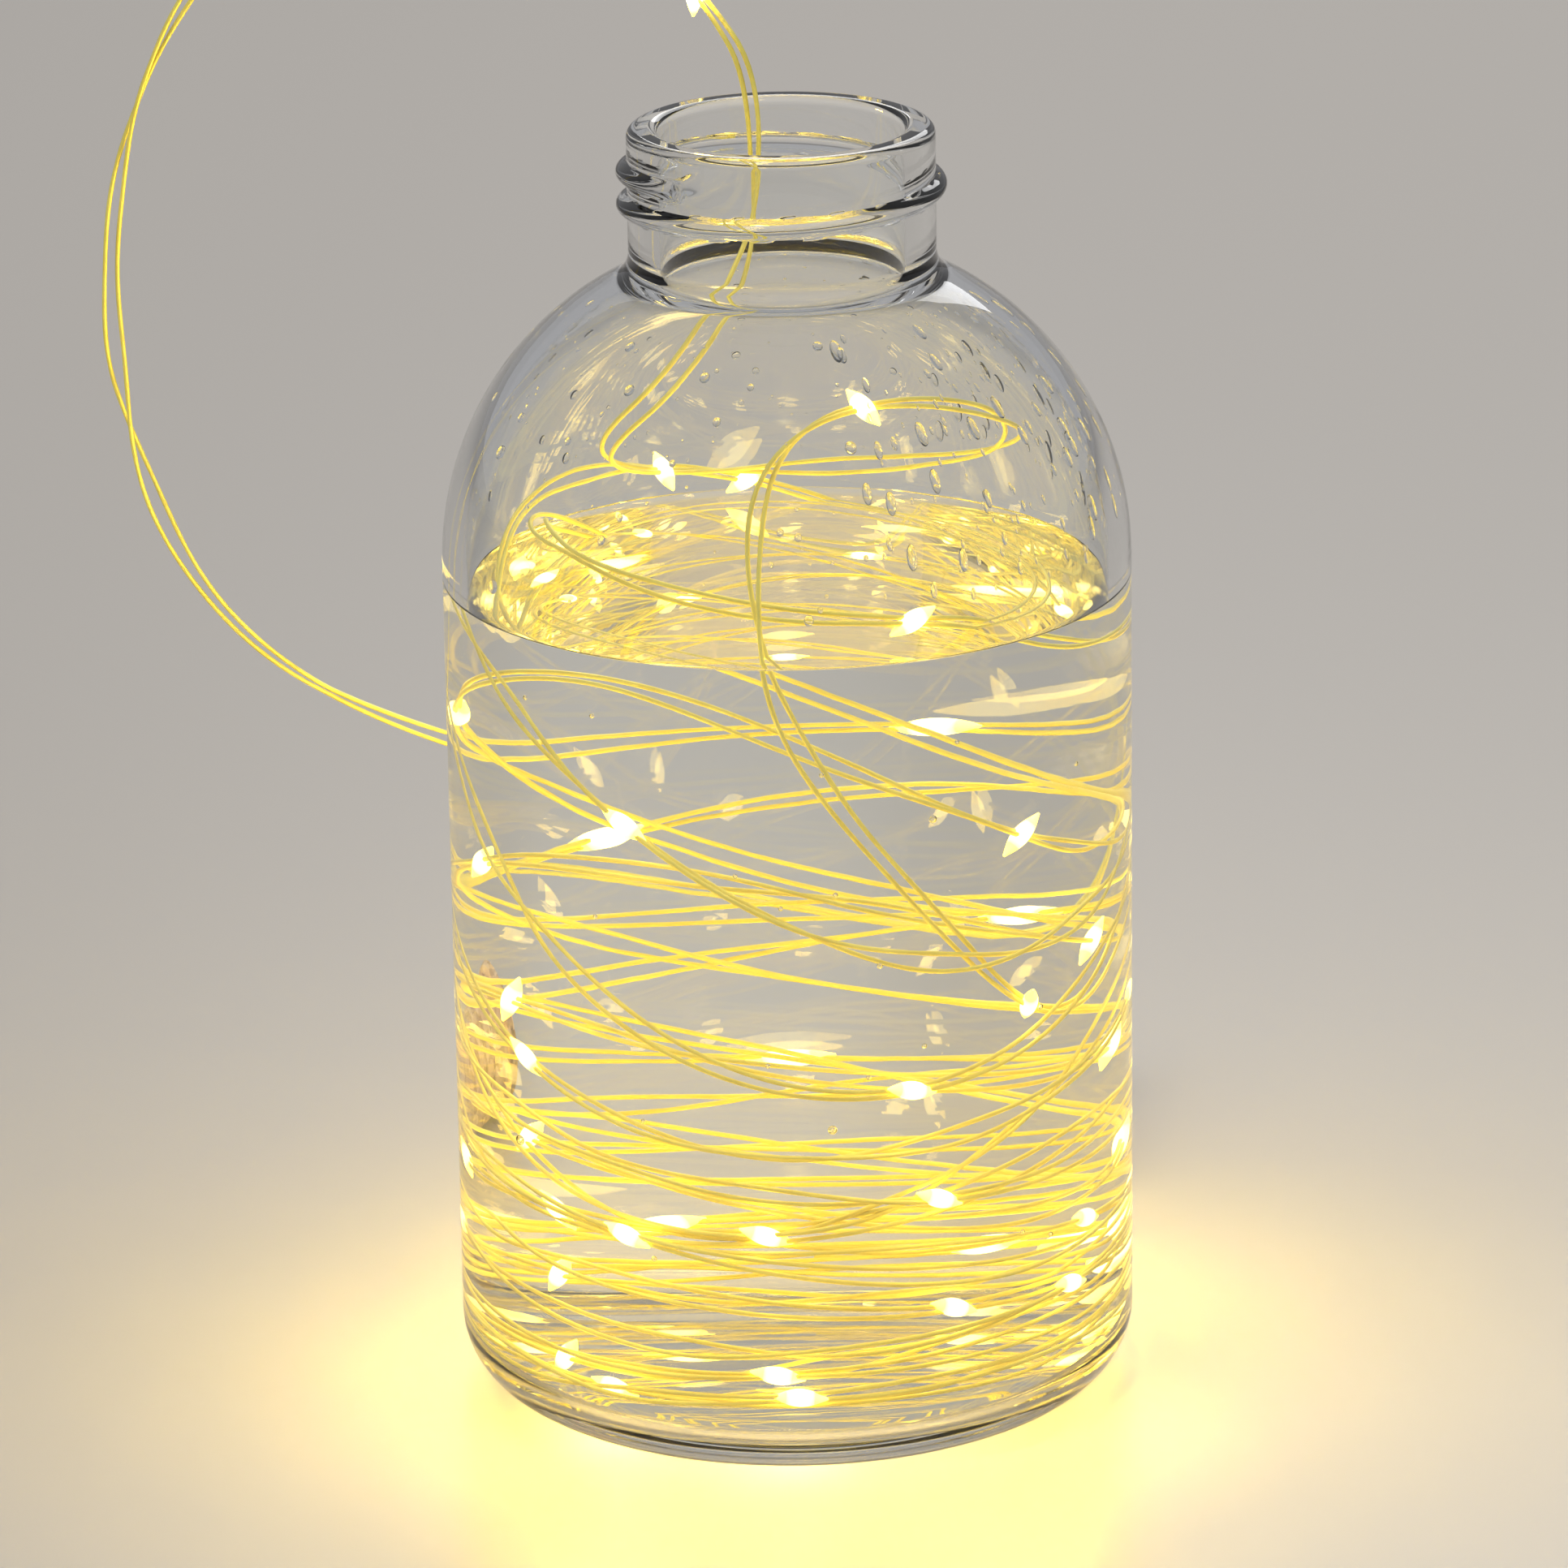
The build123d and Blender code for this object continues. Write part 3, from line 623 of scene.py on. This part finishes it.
def scatterOn(patch, name, tree, values):
    piece = bakeTree(name, tree, {"Surface": patch, "Seed": drops["seed"], **values})
    bpy.data.objects.remove(patch)
    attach(piece, root)


def makeDrops():
    tree = scatterTree()
    for name, low, high, fromAngle, toAngle, density, stretch in drops["patches"]:
        patch = wallPatch(name + "Patch", low, high, fromAngle, toAngle, drops["inset"])
        scatterOn(patch, name, tree, {
            "Density": density, "Small": drops["small"], "Large": drops["large"],
            "Stretch": stretch, "Flat": drops["flat"], "Material": waterDrop,
        })
    place = [bubbles[key] for key in ("low", "high", "from", "to", "inset")]
    scatterOn(wallPatch("bubblePatch", *place), "airBubbles", tree, {
        "Density": bubbles["density"], "Small": bubbles["small"], "Large": bubbles["large"],
        "Stretch": 1.0, "Flat": 1.0, "Material": airBubble,
    })


makeDrops()
print("drops and bubbles set")

# Light string: the loops follow the same rule as the solids, then the free strand and the lead
loops = {
    "outer": 39.25,
    "middle": 34.85,
    "inner": 31.35,
    "climbEnd": 6.4,
    "crest": 7.4,
    "dipStart": 8.3,
    "fallEnd": 14.2,
    "turns": 20.3,
    "tipHeight": 8.8,
    "floorHeight": 7.6,
    "beltHeight": 90.0,
    "crestHeight": 116.0,
    "exitHeight": 58.0,
    "gather": 1.5,
    "layerChange": 1.4,
    "floorLean": 0.7,
    "beltLean": 20.0,
    "crestLean": 8.0,
    "leanPerTurn": 22.0,
    "exitAngle": -20.0,
    "pointsPerTurn": 16,
    "sway": 8.5,  # loose turns stray at most this far up or down from the rule
    "swayWhole": 0.17,  # share of the climb from which they stray so far
    "swayRates": (0.86, 1.21),  # swings in a turn
    "wanderIn": 6.0,
    "wanderOut": 1.7,  # only for the two inner layers
    "wanderRate": 0.62,
    "wanderPick": 7.7,  # another value gives another course
}
leadRoute = [  # up the front, round under the shoulder, out of the neck and behind the bottle
    (0.0271, -0.0253, 0.0583),
    (0.0155, -0.0334, 0.0753),
    (0.0045, -0.0364, 0.0903),
    (-0.0025, -0.0362, 0.1043),
    (-0.0045, -0.0331, 0.1183),
    (-0.0030, -0.0281, 0.1293),
    (0.0040, -0.0231, 0.1353),
    (0.0150, -0.0200, 0.1363),
    (0.0250, -0.0120, 0.1328),
    (0.0300, 0.0010, 0.1268),
    (0.0280, 0.0150, 0.1203),
    (0.0180, 0.0250, 0.1163),
    (0.0040, 0.0285, 0.1148),
    (-0.0095, 0.0255, 0.1153),
    (-0.0190, 0.0165, 0.1178),
    (-0.0235, 0.0055, 0.1223),
    (-0.0220, -0.0050, 0.1283),
    (-0.0155, -0.0090, 0.1348),
    (-0.0100, -0.0050, 0.1408),
    (-0.0065, 0.0035, 0.1453),
    (-0.0034, 0.0139, 0.1523),
    (-0.0034, 0.0139, 0.1705),
    (-0.0085, 0.0183, 0.1785),
    (-0.0180, 0.0250, 0.1880),
    (-0.0330, 0.0340, 0.1940),
    (-0.0510, 0.0440, 0.1945),
    (-0.0680, 0.0520, 0.1860),
    (-0.0810, 0.0580, 0.1700),
    (-0.0890, 0.0625, 0.1500),
    (-0.0915, 0.0650, 0.1280),
    (-0.0890, 0.0660, 0.1080),
    (-0.0820, 0.0660, 0.0900),
    (-0.0700, 0.0660, 0.0765),
    (-0.0530, 0.0665, 0.0675),
    (-0.0330, 0.0660, 0.0615),
    (-0.0130, 0.0620, 0.0570),
    (0.0060, 0.0550, 0.0500),
    (0.0200, 0.0480, 0.0405),
    (0.0280, 0.0435, 0.0300),
    (0.0300, 0.0410, 0.0195),
    (0.0300, 0.0439, 0.0079),
    (0.0300, 0.0602, 0.0090),
]
string = {
    "length": 5.25,
    "diameter": 0.001,
    "strand": 0.00066,
    "strandSides": 6,
    "narrow": 0.0007,  # between the middles of the strands at a lamp
    "wide": 0.0023,  # and halfway between two lamps
    "step": 0.0016,
    "routeSteps": 12,  # between two points of a route
    "twist": 9.0,
    "curl": 14.0,
    "curlScale": 9,
    "lampAt": (-0.0105, 0.0198, 0.1806),  # a lamp stands just above the rim
    "lamps": 50,
    "tail": 0.018,  # bare wire past the last lamp inside the bottle
    "dropLength": 0.0068,
    "dropRadius": 0.00122,
    "dropEnd": 0.12,
    "dropTaper": 1.05,
    "dropRings": 17,
    "dropSides": 16,
}


def ease(value):
    held = min(max(value, 0), 1)
    return held * held * (3 - 2 * held)


def loopLevel(turn):
    heights = [
        (0, loops["tipHeight"]),
        (loops["climbEnd"], loops["beltHeight"]),
        (loops["crest"], loops["crestHeight"]),
        (loops["dipStart"], loops["beltHeight"]),
        (loops["fallEnd"], loops["floorHeight"]),
        (loops["turns"], loops["exitHeight"]),
    ]
    for (fromTurn, fromHeight), (toTurn, toHeight) in zip(heights, heights[1:]):
        if turn <= toTurn:
            share = (turn - fromTurn) / (toTurn - fromTurn)
            risen = share if toHeight > fromHeight else 1 - share
            low, high = sorted((fromHeight, toHeight))
            return low + risen ** loops["gather"] * (high - low)


def loopPoint(turn):
    inward = ease((turn - loops["climbEnd"]) / loops["layerChange"])
    outward = ease((turn - loops["fallEnd"]) / loops["layerChange"] + 0.5)
    radius = loops["outer"] - inward * (loops["outer"] - loops["inner"])
    radius += outward * (loops["middle"] - loops["inner"])
    level = loopLevel(turn)
    up = min(max((level - loops["floorHeight"]) / (loops["beltHeight"] - loops["floorHeight"]), 0), 1)
    over = max((level - loops["beltHeight"]) / (loops["crestHeight"] - loops["beltHeight"]), 0)
    lean = loops["floorLean"] + up * (loops["beltLean"] - loops["floorLean"])
    lean -= over * (loops["beltLean"] - loops["crestLean"])
    angle = math.radians(loops["exitAngle"]) + 2 * math.pi * (loops["turns"] - turn)
    level += lean * math.cos(angle - math.radians(loops["leanPerTurn"] * turn))
    swings = sum(math.sin(2 * math.pi * turn * rate) for rate in loops["swayRates"])
    level += loops["sway"] * ease(up / loops["swayWhole"]) * swings / len(loops["swayRates"])
    stray = noise.noise((2 * math.pi * turn * loops["wanderRate"], 0, loops["wanderPick"]))
    radius += loops["wanderOut"] * inward - loops["wanderIn"] * abs(stray)
    swell = 0.75 + 0.25 * math.cos(2 * math.pi / loops["pointsPerTurn"])  # the spline runs inside its points
    return radius / swell * math.cos(angle) * mm, radius / swell * math.sin(angle) * mm, level * mm


def routeCurve(name, points):
    data = bpy.data.curves.new(name, "CURVE")
    data.dimensions = "3D"
    data.resolution_u = string["routeSteps"]
    spline = data.splines.new("NURBS")
    spline.points.add(len(points) - 1)
    for point, place in zip(spline.points, points):
        point.co = (*place, 1)
    spline.order_u = 3
    spline.use_endpoint_u = True
    curve = addObject(name, data)
    bpy.context.view_layer.update()
    return curve


def pathPoints(curve):
    graph = bpy.context.evaluated_depsgraph_get()
    mesh = bpy.data.meshes.new_from_object(curve.evaluated_get(graph))
    points = [vertex.co.copy() for vertex in mesh.vertices]
    bpy.data.meshes.remove(mesh)
    return points


def twinWireTree():
    inputs = [("Route", "Object"), ("Strand", "Float"), ("Step", "Float"), ("Twist", "Float")]
    inputs += [("Curl", "Float"), ("Narrow", "Float"), ("Wide", "Float"), ("Rate", "Float")]
    inputs += [("Phase", "Float"), ("Material", "Material")]
    tree, given, out = newTree("twinWire", inputs)
    route = geometryNode(tree, "ObjectInfo")
    even = geometryNode(tree, "ResampleCurve", mode="LENGTH")
    along = geometryNode(tree, "SplineParameter")
    curl = addNode(tree, "ShaderNodeTexNoise", noise_dimensions="1D", Scale=string["curlScale"], Detail=1)
    roll = addNode(tree, "ShaderNodeMath", operation="MULTIPLY")
    twist = addNode(tree, "ShaderNodeMath", operation="MULTIPLY_ADD")
    turned = geometryNode(tree, "SetCurveTilt")
    tree.links.new(given.outputs["Route"], route.inputs["Object"])
    tree.links.new(route.outputs["Geometry"], even.inputs["Curve"])
    tree.links.new(given.outputs["Step"], even.inputs["Length"])
    tree.links.new(along.outputs["Length"], curl.inputs["W"])
    tree.links.new(curl.outputs["Fac"], roll.inputs[0])
    tree.links.new(given.outputs["Curl"], roll.inputs[1])
    tree.links.new(along.outputs["Length"], twist.inputs[0])
    tree.links.new(given.outputs["Twist"], twist.inputs[1])
    tree.links.new(roll.outputs["Value"], twist.inputs[2])
    tree.links.new(even.outputs["Curve"], turned.inputs["Curve"])
    tree.links.new(twist.outputs["Value"], turned.inputs["Tilt"])

    # the strands meet in each lamp and part between two of them
    beat = addNode(tree, "ShaderNodeMath", operation="MULTIPLY_ADD")
    wave = addNode(tree, "ShaderNodeMath", operation="SINE")
    parted = addNode(tree, "ShaderNodeMath", operation="ABSOLUTE")
    gap = addNode(tree, "ShaderNodeMapRange")
    normal = geometryNode(tree, "InputNormal")
    ring = geometryNode(tree, "CurvePrimitiveCircle", Resolution=string["strandSides"])
    half = addNode(tree, "ShaderNodeMath", operation="MULTIPLY")
    half.inputs[1].default_value = 0.5
    both = geometryNode(tree, "JoinGeometry")
    tube = geometryNode(tree, "CurveToMesh")
    smooth = geometryNode(tree, "SetShadeSmooth")
    tree.links.new(along.outputs["Length"], beat.inputs[0])
    tree.links.new(given.outputs["Rate"], beat.inputs[1])
    tree.links.new(given.outputs["Phase"], beat.inputs[2])
    tree.links.new(beat.outputs["Value"], wave.inputs[0])
    tree.links.new(wave.outputs["Value"], parted.inputs[0])
    tree.links.new(parted.outputs["Value"], gap.inputs["Value"])
    tree.links.new(given.outputs["Narrow"], gap.inputs["To Min"])
    tree.links.new(given.outputs["Wide"], gap.inputs["To Max"])
    for side in (-0.5, 0.5):
        apart = addNode(tree, "ShaderNodeMath", operation="MULTIPLY")
        apart.inputs[1].default_value = side
        aside = addNode(tree, "ShaderNodeVectorMath", operation="SCALE")
        move = geometryNode(tree, "SetPosition")
        tree.links.new(gap.outputs["Result"], apart.inputs[0])
        tree.links.new(normal.outputs["Normal"], aside.inputs[0])
        tree.links.new(apart.outputs["Value"], aside.inputs["Scale"])
        tree.links.new(turned.outputs["Curve"], move.inputs["Geometry"])
        tree.links.new(aside.outputs["Vector"], move.inputs["Offset"])
        tree.links.new(move.outputs["Geometry"], both.inputs["Geometry"])
    tree.links.new(given.outputs["Strand"], half.inputs[0])
    tree.links.new(half.outputs["Value"], ring.inputs["Radius"])
    tree.links.new(both.outputs["Geometry"], tube.inputs["Curve"])
    tree.links.new(ring.outputs["Curve"], tube.inputs["Profile Curve"])
    tube.inputs["Fill Caps"].default_value = True
    tree.links.new(tube.outputs["Mesh"], smooth.inputs["Geometry"])
    endTree(tree, smooth.outputs["Geometry"], given.outputs["Material"], out)
    return tree


def lampTree():
    inputs = [("Route", "Object"), ("First", "Float"), ("Last", "Float"), ("Count", "Int")]
    inputs += [("Length", "Float"), ("Radius", "Float"), ("End", "Float"), ("Taper", "Float")]
    inputs += [("Material", "Material")]
    tree, given, out = newTree("lampDrops", inputs)
    route = geometryNode(tree, "ObjectInfo")
    trim = geometryNode(tree, "TrimCurve", mode="LENGTH")
    places = geometryNode(tree, "ResampleCurve", mode="COUNT")
    tangent = geometryNode(tree, "InputTangent")
    turn = addNode(tree, "FunctionNodeAlignRotationToVector", axis="Z")
    spread = geometryNode(tree, "InstanceOnPoints")
    tree.links.new(given.outputs["Route"], route.inputs["Object"])
    tree.links.new(route.outputs["Geometry"], trim.inputs["Curve"])
    trimEnds = [socket for socket in trim.inputs if socket.enabled and socket.name in ("Start", "End")]
    tree.links.new(given.outputs["First"], trimEnds[0])
    tree.links.new(given.outputs["Last"], trimEnds[1])
    tree.links.new(trim.outputs["Curve"], places.inputs["Curve"])
    tree.links.new(given.outputs["Count"], places.inputs["Count"])
    tree.links.new(tangent.outputs["Tangent"], turn.inputs["Vector"])
    tree.links.new(places.outputs["Curve"], spread.inputs["Points"])
    tree.links.new(turn.outputs["Rotation"], spread.inputs["Rotation"])

    # one drop: a spindle swept along its own short axis
    half = addNode(tree, "ShaderNodeMath", operation="MULTIPLY")
    half.inputs[1].default_value = 0.5
    back = addNode(tree, "ShaderNodeMath", operation="MULTIPLY")
    back.inputs[1].default_value = -0.5
    ends = [addNode(tree, "ShaderNodeCombineXYZ") for side in range(2)]
    axis = geometryNode(tree, "CurvePrimitiveLine")
    fine = geometryNode(tree, "ResampleCurve", mode="COUNT", Count=string["dropRings"])
    along = geometryNode(tree, "SplineParameter")
    angle = addNode(tree, "ShaderNodeMath", operation="MULTIPLY")
    angle.inputs[1].default_value = math.pi
    swell = addNode(tree, "ShaderNodeMath", operation="SINE")
    bulge = addNode(tree, "ShaderNodeMath", operation="ABSOLUTE")
    pointed = addNode(tree, "ShaderNodeMath", operation="POWER")
    spindle = addNode(tree, "ShaderNodeMapRange")
    spindle.inputs["To Max"].default_value = 1
    ring = geometryNode(tree, "CurvePrimitiveCircle", Resolution=string["dropSides"])
    mark = geometryNode(tree, "StoreNamedAttribute", data_type="FLOAT", domain="POINT")
    mark.inputs["Name"].default_value = lampGlow["along"]
    skin = geometryNode(tree, "CurveToMesh")
    skin.inputs["Fill Caps"].default_value = True
    smooth = geometryNode(tree, "SetShadeSmooth")
    tree.links.new(given.outputs["Length"], half.inputs[0])
    tree.links.new(given.outputs["Length"], back.inputs[0])
    tree.links.new(back.outputs["Value"], ends[0].inputs["Z"])
    tree.links.new(half.outputs["Value"], ends[1].inputs["Z"])
    tree.links.new(ends[0].outputs["Vector"], axis.inputs["Start"])
    tree.links.new(ends[1].outputs["Vector"], axis.inputs["End"])
    tree.links.new(axis.outputs["Curve"], fine.inputs["Curve"])
    tree.links.new(along.outputs["Factor"], angle.inputs[0])
    tree.links.new(angle.outputs["Value"], swell.inputs[0])
    tree.links.new(swell.outputs["Value"], bulge.inputs[0])
    tree.links.new(bulge.outputs["Value"], pointed.inputs[0])
    tree.links.new(given.outputs["Taper"], pointed.inputs[1])
    tree.links.new(pointed.outputs["Value"], spindle.inputs["Value"])
    tree.links.new(given.outputs["End"], spindle.inputs["To Min"])
    tree.links.new(spindle.outputs["Result"], skin.inputs["Scale"])
    tree.links.new(given.outputs["Radius"], ring.inputs["Radius"])
    tree.links.new(fine.outputs["Curve"], mark.inputs["Geometry"])
    tree.links.new(along.outputs["Factor"], mark.inputs["Value"])
    tree.links.new(mark.outputs["Geometry"], skin.inputs["Curve"])
    tree.links.new(ring.outputs["Curve"], skin.inputs["Profile Curve"])
    tree.links.new(skin.outputs["Mesh"], smooth.inputs["Geometry"])
    tree.links.new(smooth.outputs["Geometry"], spread.inputs["Instance"])
    endTree(tree, spread.outputs["Instances"], given.outputs["Material"], out)
    return tree


def makeString():
    loopCount = round(loops["turns"] * loops["pointsPerTurn"])
    points = [loopPoint(loops["turns"] * step / loopCount) for step in range(loopCount + 1)]
    route = routeCurve("stringRoute", points + leadRoute)
    path = pathPoints(route)
    lengths = [0.0]
    for before, after in zip(path, path[1:]):
        lengths.append(lengths[-1] + (after - before).length)
    mark = Vector(string["lampAt"])
    atMark = min(range(len(path)), key=lambda index: (path[index] - mark).length)
    first = string["tail"]
    last = lengths[atMark]
    spacing = (last - first) / (string["lamps"] - 1)
    print(f"string {lengths[-1]:.3f} m, a lamp every {spacing:.4f} m")

    rate = math.pi / spacing
    wire = bakeTree("twinWire", twinWireTree(), {
        "Route": route, "Strand": string["strand"], "Step": string["step"], "Twist": string["twist"],
        "Curl": string["curl"], "Narrow": string["narrow"], "Wide": string["wide"],
        "Rate": rate, "Phase": -first * rate, "Material": enamelWire,
    })
    lamps = bakeTree("lampDrops", lampTree(), {
        "Route": route, "First": first, "Last": last, "Count": string["lamps"],
        "Length": string["dropLength"], "Radius": string["dropRadius"],
        "End": string["dropEnd"], "Taper": string["dropTaper"], "Material": litEpoxy,
    })
    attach(wire, root)
    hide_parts("string_wire", "lead_wire")
    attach(lamps, root)
    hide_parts("led_drops")
    bpy.data.objects.remove(route)


makeString()
print("light string strung")

# Slack wire inside the stopper: it draws out when the carrier is pulled
slack = {
    "tip": (0.0300, 0.05703, 0.00878),  # narrow end of the stopper
    "axis": (0, 0.9978648, 0.0653127),
    "side": (-1, 0, 0),
    "start": 3.2,
    "end": 12.0,
    "straight": 1.2,
    "radius": 3.9,
    "turns": 2,
    "low": 6.1,
    "pitch": 1.5,
    "step": 0.0004,
    "spacing": 0.0006,
}


def makeSlack():
    axis = Vector(slack["axis"])
    side = Vector(slack["side"])
    up = axis.cross(side)

    def inStopper(x, y, z):
        return Vector(slack["tip"]) + (side * x + up * y + axis * z) * mm

    points = [inStopper(0, 0, slack["start"]), inStopper(0, 0, slack["start"] + slack["straight"])]
    for step in range(slack["turns"] * loops["pointsPerTurn"] + 1):
        turn = step / loops["pointsPerTurn"]
        angle = 2 * math.pi * turn
        height = slack["low"] + slack["pitch"] * turn
        points.append(inStopper(slack["radius"] * math.cos(angle), slack["radius"] * math.sin(angle), height))
    points += [inStopper(0, 0, slack["end"] - slack["straight"]), inStopper(0, 0, slack["end"])]
    route = routeCurve("slackRoute", points)
    wire = bakeTree("slackWire", bpy.data.node_groups["twinWire"], {
        "Route": route, "Strand": string["strand"], "Step": slack["step"], "Twist": string["twist"],
        "Curl": 0.0, "Narrow": slack["spacing"], "Wide": slack["spacing"], "Rate": 0.0, "Phase": 0.0,
        "Material": enamelWire,
    })
    bpy.data.objects.remove(route)
    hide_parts("slack_wire")
    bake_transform(wire)


makeSlack()
print("slack wire wound")

# Stopper: the solids stay and take their finishes
mouldings = {  # finish, dark and light tone, range of roughness, scale of the grain
    "wire_grommet": ("grommetRubber", (0.03, 0.03, 0.03), (0.06, 0.06, 0.06), (0.55, 0.75), 900),
    "battery_carrier": ("carrierPlastic", (0.06, 0.06, 0.065), (0.1, 0.1, 0.105), (0.35, 0.5), 700),
    "circuit_board": ("solderMask", (0.02, 0.16, 0.07), (0.04, 0.24, 0.11), (0.25, 0.4), 500),
    "series_resistor": ("resistorBody", (0.02, 0.02, 0.022), (0.05, 0.05, 0.055), (0.3, 0.45), 900),
    "switch_slider": ("sliderPlastic", (0.03, 0.03, 0.03), (0.06, 0.06, 0.06), (0.4, 0.55), 700),
}
finishes = {name: mouldedShader(*settings) for name, settings in mouldings.items()}
finishes["switch_case"] = metalShader("tinnedSteel", (0.5, 0.5, 0.5), (0.7, 0.7, 0.69), (0.25, 0.42), 600)
cellSteel = metalShader("cellSteel", (0.62, 0.62, 0.61), (0.8, 0.8, 0.78), (0.16, 0.3), 500)
contactSteel = metalShader("contactSteel", (0.66, 0.62, 0.54), (0.84, 0.8, 0.72), (0.18, 0.32), 700)
for name in ("stopper_sleeve", "stopper_cap"):
    finishes[name] = groundCork
for name in ("button_cell_1", "button_cell_2", "button_cell_3"):
    finishes[name] = cellSteel
for name in ("negative_spring", "positive_contact", "contact_strip", "switch_pins", "switch_bridge"):
    finishes[name] = contactSteel
for name, material in finishes.items():
    nodes[name].data.materials.clear()
    nodes[name].data.materials.append(material)
print("stopper finished")

# Stage: pale floor and soft light
stage = {
    "floor": (0.46, 0.43, 0.39),
    "floorSize": 30.0,
    "floorRoughness": 0.34,
    "world": (0.36, 0.36, 0.37),
    "lights": [  # name, place, size, power, shows in the glass
        ("keySoftbox", (-0.9, -0.6, 1.1), 0.7, 9, False),
        ("fillSoftbox", (1.0, -0.3, 0.8), 0.6, 4, False),
        ("backSoftbox", (0.2, 1.1, 0.9), 0.8, 6, True),
    ],
    "aim": (0, 0, 0.08),
    "tracing": {
        "max_bounces": 24,
        "transmission_bounces": 20,
        "transparent_max_bounces": 24,
        "caustics_reflective": False,
        "caustics_refractive": False,
        "sample_clamp_indirect": 4,
    },
}


def makeFloor():
    bm = bmesh.new()
    bmesh.ops.create_grid(bm, x_segments=1, y_segments=1, size=stage["floorSize"] / 2)
    mesh = bpy.data.meshes.new("paleFloor")
    bm.to_mesh(mesh)
    bm.free()
    material, tree, shader = newMaterial("paleFloor")
    shader.inputs["Base Color"].default_value = (*stage["floor"], 1)
    shader.inputs["Roughness"].default_value = stage["floorRoughness"]
    floor = meshObject("paleFloor", mesh, material)


def makeLights():
    for name, place, size, power, shows in stage["lights"]:
        data = bpy.data.lights.new(name, "AREA")
        data.size = size
        data.energy = power
        light = addObject(name, data)
        light.visible_transmission = False  # no image of the lights through the water
        light.visible_glossy = shows
        aim = Vector(stage["aim"]) - Vector(place)
        light.matrix_world = Matrix.Translation(place) @ aim.to_track_quat("-Z", "Y").to_matrix().to_4x4()
    world = bpy.data.worlds.new("studioWorld")
    world.use_nodes = True
    world.node_tree.nodes["Background"].inputs["Color"].default_value = (*stage["world"], 1)
    bpy.context.scene.world = world


makeFloor()
makeLights()
bpy.context.scene.view_settings.view_transform = "Standard"
for setting, value in stage["tracing"].items():
    setattr(bpy.context.scene.cycles, setting, value)
print("stage set")
